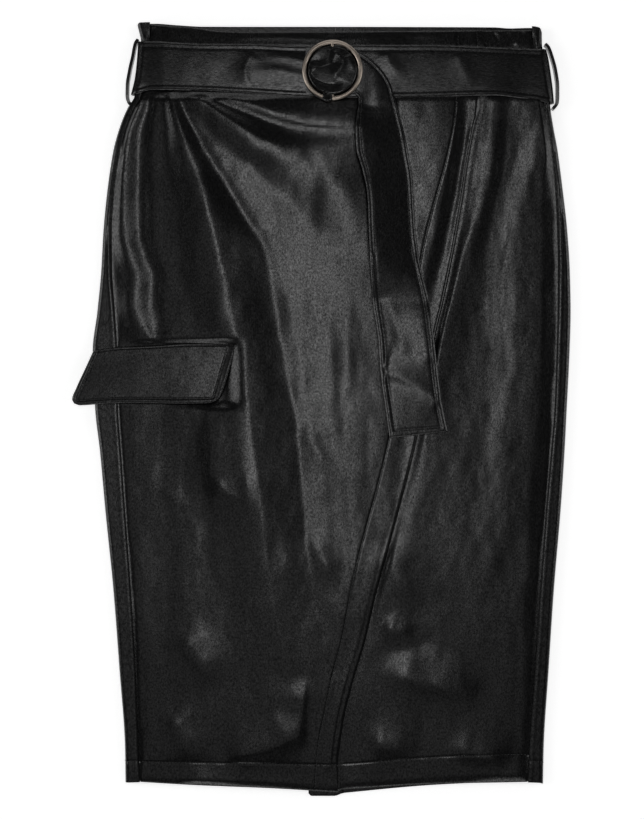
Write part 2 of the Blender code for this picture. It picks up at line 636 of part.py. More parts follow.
def build_pocket_flap(material):
    """Build the pocket flap, sewn along its top edge over the right side seam."""
    top, bottom = through(FLAP_TOP), through(FLAP_BOTTOM)
    side, front = through(FLAP_SIDE), through(FLAP_FRONT)

    def place(u, v):
        down = 1 - v
        x = side(down) + u * (front(down) - side(down))
        x_top = FLAP_TOP[0].along + u * (FLAP_TOP[-1].along - FLAP_TOP[0].along)
        x_bottom = FLAP_BOTTOM[0].along + u * (FLAP_BOTTOM[-1].along - FLAP_BOTTOM[0].along)
        y = bottom(x_bottom) + v * (top(x_top) - bottom(x_bottom))
        rest = front_height(y) + WALL + over_lift(x, y) + GAP
        return x, y, rest + FLAP_STAND_OFF * ease(down, FLAP_STAND_START, 1.0) + FLAP_THICK

    return cloth("pocket_flap", FLAP_COLUMNS, FLAP_ROWS, place, FLAP_THICK, material)


def main():
    """Build the skirt."""
    for old in list(bpy.data.objects):
        bpy.data.objects.remove(old, do_unlink=True)
    for title in ("midi_skirt", "cutters"):
        bpy.context.scene.collection.children.link(bpy.data.collections.new(title))
    leatherette = make_material("leatherette", (0.018, 0.018, 0.019), 0.38, 0.0)
    metal = make_material("ring_metal", (0.62, 0.55, 0.48), 0.3, 1.0)

    build_back("back_right", -1, right_fold, right_seam, RIGHT_BACK_HEM, leatherette)
    build_back("back_left", 1, left_fold, left_seam, LEFT_BACK_HEM, leatherette)
    build_vent_underlap(leatherette)
    build_front_under(leatherette)
    build_front_over(leatherette)
    build_pocket_flap(leatherette)
    build_belt_band(leatherette)
    build_belt_tail(leatherette)
    build_belt_knot(leatherette)
    build_belt_ring(metal)
    build_loop("loop_right", RIGHT_LOOP, leatherette)
    build_loop("loop_left", LEFT_LOOP, leatherette)


main()
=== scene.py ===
"""Dress the laid-out wrap midi skirt: its leatherette panels, ring belt, stitching and studio.

Metres, +Z up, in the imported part's own frame. The skirt lies on the floor with its waist towards
+Y and its front up. Sizes, tables and surface functions are in millimetres until a mesh is made.
Right and left are the wearer's, so the right side lies towards -X.
"""

from __future__ import annotations

import logging
import math
from collections.abc import Callable, Iterable, Sequence
from dataclasses import dataclass, field
from enum import Enum
from typing import ClassVar

import bmesh
import bpy
import numpy as np
from mathutils import Matrix, Vector

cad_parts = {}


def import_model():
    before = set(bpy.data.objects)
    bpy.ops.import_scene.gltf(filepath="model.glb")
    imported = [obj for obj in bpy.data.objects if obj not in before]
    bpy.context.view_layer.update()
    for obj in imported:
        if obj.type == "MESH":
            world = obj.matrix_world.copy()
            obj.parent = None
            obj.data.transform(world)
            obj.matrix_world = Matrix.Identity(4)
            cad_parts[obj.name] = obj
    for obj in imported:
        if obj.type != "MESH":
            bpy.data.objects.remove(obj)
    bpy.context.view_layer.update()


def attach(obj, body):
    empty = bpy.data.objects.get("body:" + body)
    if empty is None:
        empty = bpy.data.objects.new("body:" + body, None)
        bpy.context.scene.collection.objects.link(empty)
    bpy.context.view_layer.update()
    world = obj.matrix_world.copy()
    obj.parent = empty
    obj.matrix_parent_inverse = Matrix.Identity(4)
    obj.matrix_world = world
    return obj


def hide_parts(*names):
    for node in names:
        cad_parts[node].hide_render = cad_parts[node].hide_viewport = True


LOG = logging.getLogger("midi_skirt")
MM = 0.001
BODY = "root"

Array = np.ndarray
Curve = Callable[[Array], Array]
Surface = Callable[[Array, Array], Array]
Points = tuple[tuple[float, ...], ...]
Socket = bpy.types.NodeSocket


# Curves and small helpers


def cubic(t: Array, step: Array, low: Array, high: Array, rise: Array, run_out: Array) -> Array:
    """Return a smooth value between two points.

    Args:
        t: How far along the cell, from 0 to 1.
        step: The cell's length.
        low: The value at its start.
        high: The value at its end.
        rise: The slope at its start.
        run_out: The slope at its end.

    Returns:
        The value.
    """
    start = (2 * t**3 - 3 * t**2 + 1) * low + (t**3 - 2 * t**2 + t) * step * rise
    return start + ((3 * t**2 - 2 * t**3) * high + (t**3 - t**2) * step * run_out)


def through(points: Iterable[Sequence[float]]) -> Curve:
    """Make a smooth function through points that never overshoots them.

    Args:
        points: Pairs of a place along the curve and its value there.

    Returns:
        The function, held level beyond its first and last point.
    """
    along, place = np.array(sorted((float(p[0]), float(p[1])) for p in points)).T
    step = np.diff(along)
    slope = np.diff(place) / step
    tangent = np.zeros_like(place)
    tangent[0], tangent[-1] = slope[0], slope[-1]
    product, total = slope[:-1] * slope[1:], slope[:-1] + slope[1:]
    same = product > 0
    tangent[1:-1][same] = 2 * product[same] / total[same]

    def at(where: Array) -> Array:
        """Return the curve's value."""
        q = np.clip(np.asarray(where, float), along[0], along[-1])
        i = np.clip(np.searchsorted(along, q, side="right") - 1, 0, len(step) - 1)
        return cubic((q - along[i]) / step[i], step[i], place[i], place[i + 1], tangent[i], tangent[i + 1])

    return at


def level_at(value: float) -> Curve:
    """Return a curve that is the same everywhere."""
    return lambda where: np.full(np.shape(where), float(value))


def ease(value: Array, start: float | Array, stop: float | Array) -> Array:
    """Step smoothly from 0 at start to 1 at stop, which may lie below start."""
    t = np.clip((np.asarray(value, float) - start) / (stop - start), 0.0, 1.0)
    return t * t * (3 - 2 * t)


def bell(distance: Array, width: float | Array) -> Array:
    """Return a soft bump of height 1."""
    return np.exp(-((np.asarray(distance, float) / width) ** 2))


def rounded(distance: Array, reach: float, depth: float) -> Array:
    """Return how far a face rolls down near an edge.

    Args:
        distance: How far in from the edge.
        reach: How far in the roll starts.
        depth: How far down it goes at the edge.

    Returns:
        Heights from 0 down to minus the depth.
    """
    inside = np.clip(1 - np.asarray(distance, float) / reach, 0.0, 1.0)
    return -depth * (1 - np.sqrt(1 - inside**2))


def swells(x: Array, y: Array, size: tuple[float, float], seed: int) -> Array:
    """Make gentle uneven swells, the same each time.

    Args:
        x: Places across.
        y: Places along.
        size: How wide and how long a swell is.
        seed: Which pattern.

    Returns:
        Heights from -1 to 1.
    """
    table = np.random.default_rng(seed).uniform(-1.0, 1.0, (64, 64))
    u, v = np.asarray(x, float) / size[0] + 31.0, np.asarray(y, float) / size[1] + 31.0
    i, j = np.floor(u).astype(int), np.floor(v).astype(int)
    a, b = u - i, v - j
    a, b = a * a * a * (a * (a * 6 - 15) + 10), b * b * b * (b * (b * 6 - 15) + 10)
    i, j = i % 63, j % 63
    low = table[i, j] * (1 - a) + table[i + 1, j] * a
    high = table[i, j + 1] * (1 - a) + table[i + 1, j + 1] * a
    return low * (1 - b) + high * b


def places(x: Array, y: Array, z: Array) -> Array:
    """Return places with X, Y and Z on the last axis."""
    return np.stack([x, y, z], axis=-1)


def arc_lengths(points: Array) -> Array:
    """Return how far along a line of points each one lies."""
    return np.concatenate(([0.0], np.cumsum(np.linalg.norm(np.diff(points, axis=0), axis=1))))


class Path:
    """A smooth line through points drawn in plan."""

    def __init__(self, points: Points) -> None:
        """Measure the line."""
        rows = np.array(points, float)
        spacing = arc_lengths(rows)
        self.length = float(spacing[-1])
        self.x, self.y = (through(zip(spacing, rows[:, axis])) for axis in (0, 1))


# Rows of the tables


class Side(Enum):
    """A side of the wearer, and its direction along X."""

    RIGHT = -1
    LEFT = 1


@dataclass(frozen=True)
class Crease:
    """A crest, or with a negative height a trough, along a path drawn down the skirt.

    Its section falls away over right_width towards the wearer's right and over left_width
    towards the left, and round is how blunt its top is.
    """

    path: Points
    height: float
    right_width: float
    left_width: float
    round: float = 2.5
    fade_in: float = 0.12
    fade_out: float = 0.45

    def at(self, x: Array, y: Array) -> Array:
        """Return the crease's height.

        Args:
            x: Places across.
            y: Places along.

        Returns:
            Heights in millimetres.
        """
        path = Path(self.path)
        along = np.linspace(0.0, path.length, max(12, int(path.length / 8)))
        line = np.stack([path.x(along), path.y(along)], axis=1)
        nearest = np.full(np.shape(x), np.inf)
        side, share = np.zeros(np.shape(x)), np.zeros(np.shape(x))
        for index, (a, b) in enumerate(zip(line[:-1], line[1:])):
            run = b - a
            dx, dy = x - a[0], y - a[1]
            t = np.clip((dx * run[0] + dy * run[1]) / (run @ run), 0.0, 1.0)
            away = np.hypot(dx - t * run[0], dy - t * run[1])
            closer = away < nearest
            nearest = np.where(closer, away, nearest)
            side = np.where(closer, run[0] * dy - run[1] * dx, side)
            share = np.where(closer, (index + t) / (len(line) - 1), share)
        blend = 0.5 + 0.5 * np.tanh(side / (np.hypot(*(line[1] - line[0])) * 1.5))
        width = self.right_width + (self.left_width - self.right_width) * blend
        fall = (np.sqrt(nearest**2 + self.round**2) - self.round) / width
        ends = ease(share, 0.0, max(self.fade_in, 1e-6)) * ease(share, 1.0, 1.0 - self.fade_out)
        return self.height * np.exp(-fall) * ends


def creased(creases: Sequence[Crease], x: Array, y: Array) -> Array:
    """Return the height of several creases together."""
    return sum(crease.at(x, y) for crease in creases)


@dataclass(frozen=True)
class Fold:
    """A crest or a valley that runs down a front, as places along it: Y, X and height."""

    name: str
    line: Points

    def read(self, column: int, y: Array) -> Array:
        """Return the line's X, from column 1, or its height, from column 2, along the skirt."""
        return through((row[0], row[column]) for row in self.line)(y)


def lofted(folds: Sequence[Fold], x: Array, y: Array, first: Array, last: Array) -> Array:
    """Run a smooth cloth over folds that lie side by side, from one edge to another.

    Args:
        folds: The folds, from the wearer's right to the left.
        x: Places across.
        y: Places along.
        first: X of the edge on the right, where the cloth is down.
        last: X of the edge on the left, where it is down too.

    Returns:
        Heights, 0 beyond the edges.
    """
    count, room = len(folds), 2.0
    lines = [first]
    for index, fold in enumerate(folds):
        inside = np.minimum(fold.read(1, y), last - room * (count - index))
        lines.append(np.maximum(inside, lines[-1] + room))
    rails_at = np.stack([*lines, np.maximum(last, lines[-1] + room)])
    heights = np.stack([0.0 * x, *(fold.read(2, y) for fold in folds), 0.0 * x])
    step = np.diff(rails_at, axis=0)
    slope = np.diff(heights, axis=0) / step
    tangent = np.zeros_like(heights)
    product = slope[:-1] * slope[1:]
    same = product > 0
    total = np.where(same, slope[:-1] + slope[1:], 1.0)
    tangent[1:-1] = np.where(same, 2 * product / total, 0.0)
    q = np.clip(x, rails_at[0], rails_at[-1])
    cell = np.clip((q[None] >= rails_at).sum(axis=0) - 1, 0, count)[None]

    def pick(values: Array, shift: int = 0) -> Array:
        """Return each place's value from the cell it lies in."""
        return np.take_along_axis(values, cell + shift, axis=0)[0]

    gap = pick(step)
    rise, run_out = pick(tangent), pick(tangent, 1)
    return cubic((q - pick(rails_at)) / gap, gap, pick(heights), pick(heights, 1), rise, run_out)


@dataclass(frozen=True)
class Rail:
    """A line that a column, or a row, of a mesh follows, and the cells before it."""

    at: Curve
    shift: float = 0.0
    cells: int = 1


def rails(at: Curve, *steps: float | tuple[float, int]) -> list[Rail]:
    """Return rails beside a line: each step is a shift, or a shift and the cells before it."""
    return [Rail(at, *(step if isinstance(step, tuple) else (step,))) for step in steps]


class Stations:
    """The columns, or rows, of a mesh: rails with even cells between them."""

    def __init__(self, lines: Sequence[Rail]) -> None:
        """Keep the rails; the first one's cells are not used."""
        self.lines = list(lines)
        self.starts = np.concatenate(([0], np.cumsum([line.cells for line in self.lines[1:]])))
        self.count = int(self.starts[-1])

    def at(self, index: Array, along: Array) -> Array:
        """Return where stations lie.

        Args:
            index: Which station, whole or between two.
            along: Where along the rails.

        Returns:
            Their places across the rails.
        """
        lines = np.stack([line.at(along) + line.shift + 0.0 * along for line in self.lines])
        low = np.clip(np.searchsorted(self.starts, index, side="right") - 1, 0, len(self.lines) - 2)
        t = (index - self.starts[low]) / (self.starts[low + 1] - self.starts[low])
        pick = np.arange(lines.shape[1])
        return lines[low, pick] * (1 - t) + lines[low + 1, pick] * t


def settled(columns: int, rows: Stations, across: Surface) -> tuple[Array, Array, Array]:
    """Find where a grid's lines cross, when columns and rows both bend.

    Args:
        columns: How many cells across.
        rows: The rows, as rails along X.
        across: Gives X for a column and a Y.

    Returns:
        Each point's column, X and Y.
    """
    j, i = np.meshgrid(np.arange(rows.count + 1.0), np.arange(columns + 1.0), indexing="ij")
    i, j = i.ravel(), j.ravel()
    x = across(i, np.zeros_like(i))
    y = rows.at(j, x)
    for _ in range(3):
        x = across(i, y)
        y = rows.at(j, x)
    return i, x, y


def grid_of(columns: int, rows: int) -> tuple[Array, Array]:
    """Return even running values from 0 to 1 across and along a grid, rows by columns."""
    v, u = np.meshgrid(np.linspace(0.0, 1.0, rows + 1), np.linspace(0.0, 1.0, columns + 1), indexing="ij")
    return u, v


def crowded(values: Array, near: Sequence[float], reach: float) -> Array:
    """Draw even values from 0 to 1 towards chosen places, so that a mesh is finer there.

    Args:
        values: The even values.
        near: Where they crowd.
        reach: How wide the crowding is.

    Returns:
        The redrawn values.
    """
    fine = np.linspace(0.0, 1.0, 2001)
    density = 1.0 + sum(2.2 * np.exp(-np.abs(fine - place) / reach) for place in near)
    run = np.concatenate(([0.0], np.cumsum((density[1:] + density[:-1]) / 2)))
    return np.interp(values, run / run[-1], fine)


def edge_of(share: Array, size: float) -> Array:
    """Return how far in from the nearer of two edges a share of a size lies."""
    return np.minimum(share, 1 - share) * size


# Finishes


class Shader:
    """A material being wired: a few words for adding and joining its nodes."""

    def __init__(self, name: str) -> None:
        """Start a material with its surface shader."""
        self.material = bpy.data.materials.new(name)
        self.material.use_nodes = True
        self.tree = self.material.node_tree
        self.surface = self.tree.nodes["Principled BSDF"]

    def add(self, kind: str, **values: object) -> bpy.types.Node:
        """Add a node.

        Args:
            kind: The node's type.
            values: Its properties, or its inputs by their names with _ for a space.

        Returns:
            The node.
        """
        node = self.tree.nodes.new(kind)
        for key, value in values.items():
            if hasattr(node, key):
                setattr(node, key, value)
            else:
                node.inputs[key.replace("_", " ")].default_value = value
        return node

    def join(self, source: Socket, target: Socket | str) -> None:
        """Join two sockets; a name is a socket of the surface."""
        self.tree.links.new(source, self.surface.inputs[target] if isinstance(target, str) else target)

    def object_space(self, scale: tuple[float, float, float]) -> Socket:
        """Return the piece's own coordinates, scaled to so many cells a metre."""
        place = self.add("ShaderNodeTexCoord")
        mapping = self.add("ShaderNodeMapping", Scale=scale)
        self.join(place.outputs["Object"], mapping.inputs["Vector"])
        return mapping.outputs["Vector"]

    def noise(self, scale: tuple[float, float, float] | float, detail: float = 2.0) -> Socket:
        """Return a noise in the piece's own coordinates, of so many cells a metre."""
        node = self.add("ShaderNodeTexNoise", Scale=1.0, Detail=detail, Roughness=0.55)
        even = scale if isinstance(scale, tuple) else (scale, scale, scale)
        self.join(self.object_space(even), node.inputs["Vector"])
        return node.outputs["Fac"]

    def spread(self, source: Socket, low: float, high: float,
               start: float = 0.3, stop: float = 0.7) -> Socket:
        """Spread a value between start and stop over low to high."""
        node = self.add("ShaderNodeMapRange", From_Min=start, From_Max=stop, To_Min=low, To_Max=high)
        self.join(source, node.inputs["Value"])
        return node.outputs["Result"]

    def sum(self, first: Socket, second: Socket, share: float = 1.0) -> Socket:
        """Add share times the second value to the first."""
        node = self.add("ShaderNodeMath", operation="MULTIPLY_ADD")
        node.inputs[1].default_value = share
        self.join(second, node.inputs[0])
        self.join(first, node.inputs[2])
        return node.outputs[0]

    def bump(self, height: Socket, depth: float, strength: float) -> None:
        """Raise the surface by a height of up to depth metres, over any bump it already has."""
        node = self.add("ShaderNodeBump", Distance=depth, Strength=strength)
        self.join(height, node.inputs["Height"])
        before = self.surface.inputs["Normal"]
        if before.is_linked:
            self.join(before.links[0].from_socket, node.inputs["Normal"])
        self.join(node.outputs["Normal"], before)

    def tint(self, colour: tuple[float, float, float], dark: float, light: float, share: Socket) -> None:
        """Colour the surface between a dark and a light shade of a colour."""
        mix = self.add("ShaderNodeMix", data_type="RGBA")
        mix.inputs[6].default_value = (*(c * dark for c in colour), 1.0)
        mix.inputs[7].default_value = (*(c * light for c in colour), 1.0)
        self.join(share, mix.inputs[0])
        self.join(mix.outputs[2], "Base Color")


class Grain(Enum):
    """The direction in which the leatherette's grain is drawn out, as cells a metre."""

    LENGTHWISE = (1250.0, 420.0, 1250.0)
    CROSSWISE = (420.0, 1250.0, 1250.0)


@dataclass(frozen=True)
class Leatherette:
    """Black coated cloth: a satin film with a fine drawn-out grain, glossier where pressed."""

    name: str
    grain: Grain
    colour: tuple[float, float, float] = (0.0024, 0.0024, 0.0026)
    roughness: float = 0.225
    grain_depth: float = 0.000025

    def material(self) -> bpy.types.Material:
        """Wire the film, its grain and its pressed places."""
        shader = Shader(self.name)
        across, along, deep = self.grain.value

        pebble = shader.add("ShaderNodeTexVoronoi", feature="SMOOTH_F1", Scale=1.0, Smoothness=0.6)
        shader.join(shader.object_space((across, along * 1.6, deep)), pebble.inputs["Vector"])
        drawn = shader.noise((across * 0.9, along * 1.1, deep * 0.9), 3.0)
        shader.bump(shader.sum(pebble.outputs["Distance"], drawn, 0.8), self.grain_depth, 0.9)
        shader.bump(shader.noise((across * 0.3, along * 0.2, across * 0.3)), 0.0001, 0.08)
        glint = shader.noise((across * 0.6, along * 1.15, deep), 4.0)
        shader.join(shader.spread(glint, 0.22, 0.82, 0.34, 0.66), "Specular IOR Level")

        cloudy = shader.spread(shader.noise((11.0, 8.0, 11.0), 3.0), -0.03, 0.04)
        speckle = shader.spread(shader.noise((across * 0.8, along * 0.6, deep)), -0.05, 0.05)
        pressed = shader.add("ShaderNodeAttribute", attribute_name="pressed")
        rough = shader.sum(shader.sum(cloudy, speckle), pressed.outputs["Fac"], -0.06)
        base = shader.add("ShaderNodeMath", operation="ADD")
        base.inputs[1].default_value = self.roughness
        shader.join(rough, base.inputs[0])
        shader.join(base.outputs[0], "Roughness")

        mottle = shader.noise((across * 0.5, along * 0.4, deep), 3.0)
        shader.tint(self.colour, 0.72, 1.3, shader.spread(mottle, 0.0, 1.0))
        return shader.material


@dataclass(frozen=True)
class Thread:
    """Black sewing thread with a faint twist."""

    colour: tuple[float, float, float] = (0.008, 0.008, 0.0085)

    def material(self) -> bpy.types.Material:
        """Wire the thread."""
        shader = Shader("black_thread")
        shader.surface.inputs["Sheen Weight"].default_value = 0.15
        shader.join(shader.spread(shader.noise(3000.0, 1.0), 0.45, 0.62), "Roughness")
        shader.tint(self.colour, 0.7, 1.5, shader.noise(2500.0, 1.0))
        return shader.material


@dataclass(frozen=True)
class PaleMetal:
    """Pale champagne plating, brushed round the ring."""

    colour: tuple[float, float, float] = (0.42, 0.36, 0.305)
    roughness: float = 0.34

    def material(self) -> bpy.types.Material:
        """Wire the plating and its brushing."""
        shader = Shader("champagne_plating")
        shader.surface.inputs["Metallic"].default_value = 1.0
        fine = shader.noise(1500.0, 3.0)
        shader.join(shader.spread(fine, self.roughness - 0.07, self.roughness + 0.1), "Roughness")
        shader.bump(fine, 0.00004, 0.5)
        shader.bump(shader.noise(380.0), 0.00012, 0.4)
        shader.tint(self.colour, 0.84, 1.1, shader.noise(260.0, 3.0))
        return shader.material


@dataclass(frozen=True)
class WhiteFloor:
    """Matt white studio table, lit from below."""

    colour: tuple[float, float, float] = (0.85, 0.85, 0.85)
    glow: float = 0.66

    def material(self) -> bpy.types.Material:
        """Wire the floor."""
        shader = Shader("white_floor")
        shader.surface.inputs["Base Color"].default_value = (*self.colour, 1.0)
        shader.surface.inputs["Emission Color"].default_value = (1.0, 1.0, 1.0, 1.0)
        shader.surface.inputs["Emission Strength"].default_value = self.glow
        shader.join(shader.spread(shader.noise(3.0, 1.0), 0.85, 0.95), "Roughness")
        return shader.material


@dataclass
class Wardrobe:
    """The finishes, made once and shared."""

    lengthwise: bpy.types.Material = field(
        default_factory=lambda: Leatherette("leatherette_lengthwise", Grain.LENGTHWISE).material())
    crosswise: bpy.types.Material = field(
        default_factory=lambda: Leatherette("leatherette_crosswise", Grain.CROSSWISE).material())
    thread: bpy.types.Material = field(default_factory=lambda: Thread().material())
    metal: bpy.types.Material = field(default_factory=lambda: PaleMetal().material())
    floor: bpy.types.Material = field(default_factory=lambda: WhiteFloor().material())


# Meshes


def outward(points: Array) -> Array:
    """Return the unit normals of a grid of points, rows by columns by three."""
    normal = np.cross(np.gradient(points, axis=1), np.gradient(points, axis=0))
    return normal / np.maximum(np.linalg.norm(normal, axis=2, keepdims=True), 1e-9)


def mesh_of(name: str, bm: bmesh.types.BMesh) -> bpy.types.Mesh:
    """Turn a bmesh into a mesh and free it."""
    mesh = bpy.data.meshes.new(name)
    bm.to_mesh(mesh)
    bm.free()
    return mesh


def shell(name: str, outer: Array, inner: Array, finish: bpy.types.Material,
          pressed: Array | None = None) -> bpy.types.Object:
    """Make a closed sheet between two grids of points.

    Args:
        name: The piece's name.
        outer: Places of its outer face, rows by columns by three.
        inner: The places under them.
        finish: Its material.
        pressed: How pressed the film is at each point, from 0 to 1.

    Returns:
        The piece.
    """
    rows, columns = outer.shape[0] - 1, outer.shape[1] - 1
    bm = bmesh.new()
    bmesh.ops.create_grid(bm, x_segments=columns, y_segments=rows, size=0.5)
    bmesh.ops.extrude_face_region(bm, geom=bm.faces[:], use_keep_orig=True)
    bm.verts.index_update()
    flat = np.array([vert.co for vert in bm.verts])
    i = np.rint((flat[:, 0] + 0.5) * columns).astype(int)
    j = np.rint((flat[:, 1] + 0.5) * rows).astype(int)
    seen = np.zeros((rows + 1, columns + 1), bool)
    upper = np.zeros(len(flat), bool)
    for index, (column, row) in enumerate(zip(i, j)):
        upper[index] = seen[row, column]
        seen[row, column] = True
    for vert, place in zip(bm.verts, np.where(upper[:, None], outer[j, i], inner[j, i]) * MM):
        vert.co = place
    bmesh.ops.recalc_face_normals(bm, faces=bm.faces[:])
    mesh = mesh_of(name, bm)
    values = pressed[j, i] * upper if pressed is not None else np.zeros(len(flat))
    mesh.attributes.new("pressed", "FLOAT", "POINT").data.foreach_set("value", values.astype(np.float32))
    return placed(name, mesh, finish)


def placed(name: str, mesh: bpy.types.Mesh, finish: bpy.types.Material,
           smooth: float = 40.0) -> bpy.types.Object:
    """Put a mesh in the scene as a piece that rides on the skirt.

    Args:
        name: The piece's name.
        mesh: Its mesh, already in place.
        finish: Its material.
        smooth: The sharpest angle, in degrees, that is still shaded smooth.

    Returns:
        The piece.
    """
    mesh.materials.clear()
    mesh.materials.append(finish)
    mesh.shade_smooth()
    mesh.set_sharp_from_angle(angle=math.radians(smooth))
    piece = bpy.data.objects.new(name, mesh)
    bpy.context.scene.collection.objects.link(piece)
    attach(piece, BODY)
    LOG.info("%s: %d faces", name, len(mesh.polygons))
    return piece


def stitched(name: str, runs: Sequence[Array], finish: bpy.types.Material,
             pitch: float = 3.2, length: float = 2.5, thick: float = 0.55) -> bpy.types.Object:
    """Sew rows of stitches, half sunk in the cloth.

    Args:
        name: The piece's name.
        runs: For each seam its places and normals, points by six.
        finish: The thread.
        pitch: From one stitch to the next.
        length: How long a stitch shows.
        thick: How thick the thread is.

    Returns:
        The stitches, joined in one piece.
    """
    bm = bmesh.new()
    size = Matrix.Diagonal((length / 2 * MM, thick / 2 * MM, thick / 2 * MM, 1.0))
    for run in runs:
        spacing = arc_lengths(run[:, :3])
        middles = np.arange(pitch / 2, spacing[-1] - pitch / 4, pitch)
        middle, ahead, behind = (
            np.stack([np.interp(middles + shift, spacing, run[:, k]) for k in range(6)], axis=1)
            for shift in (0.0, 0.5, -0.5))
        for place, front, back in zip(middle, ahead[:, :3], behind[:, :3]):
            forward = Vector(front - back).normalized()
            aside = Vector(place[3:]).cross(forward).normalized()
            turn = Matrix((forward, aside, forward.cross(aside))).transposed().to_4x4()
            bmesh.ops.create_uvsphere(bm, u_segments=6, v_segments=4, radius=1.0,
                                      matrix=Matrix.Translation(Vector(place[:3] * MM)) @ turn @ size)
    return placed(name, mesh_of(name, bm), finish, 80.0)


def seam_path(surface: Surface, first: Array, second: Array, lift: float = 0.05) -> Array:
    """Follow a line over a surface for its stitches.

    Args:
        surface: Gives places for two running values.
        first: The first value along the line.
        second: The second value along the line.
        lift: How far over the surface the thread's middle lies.

    Returns:
        Places and normals, points by six.
    """
    first, second = np.broadcast_arrays(np.asarray(first, float), np.asarray(second, float))
    step = 0.05
    across = surface(first + step, second) - surface(first - step, second)
    along = surface(first, second + step) - surface(first, second - step)
    normal = np.cross(across, along)
    normal /= np.maximum(np.linalg.norm(normal, axis=1, keepdims=True), 1e-9)
    return np.concatenate([surface(first, second) + normal * lift, normal], axis=1)


# The laid skirt's form


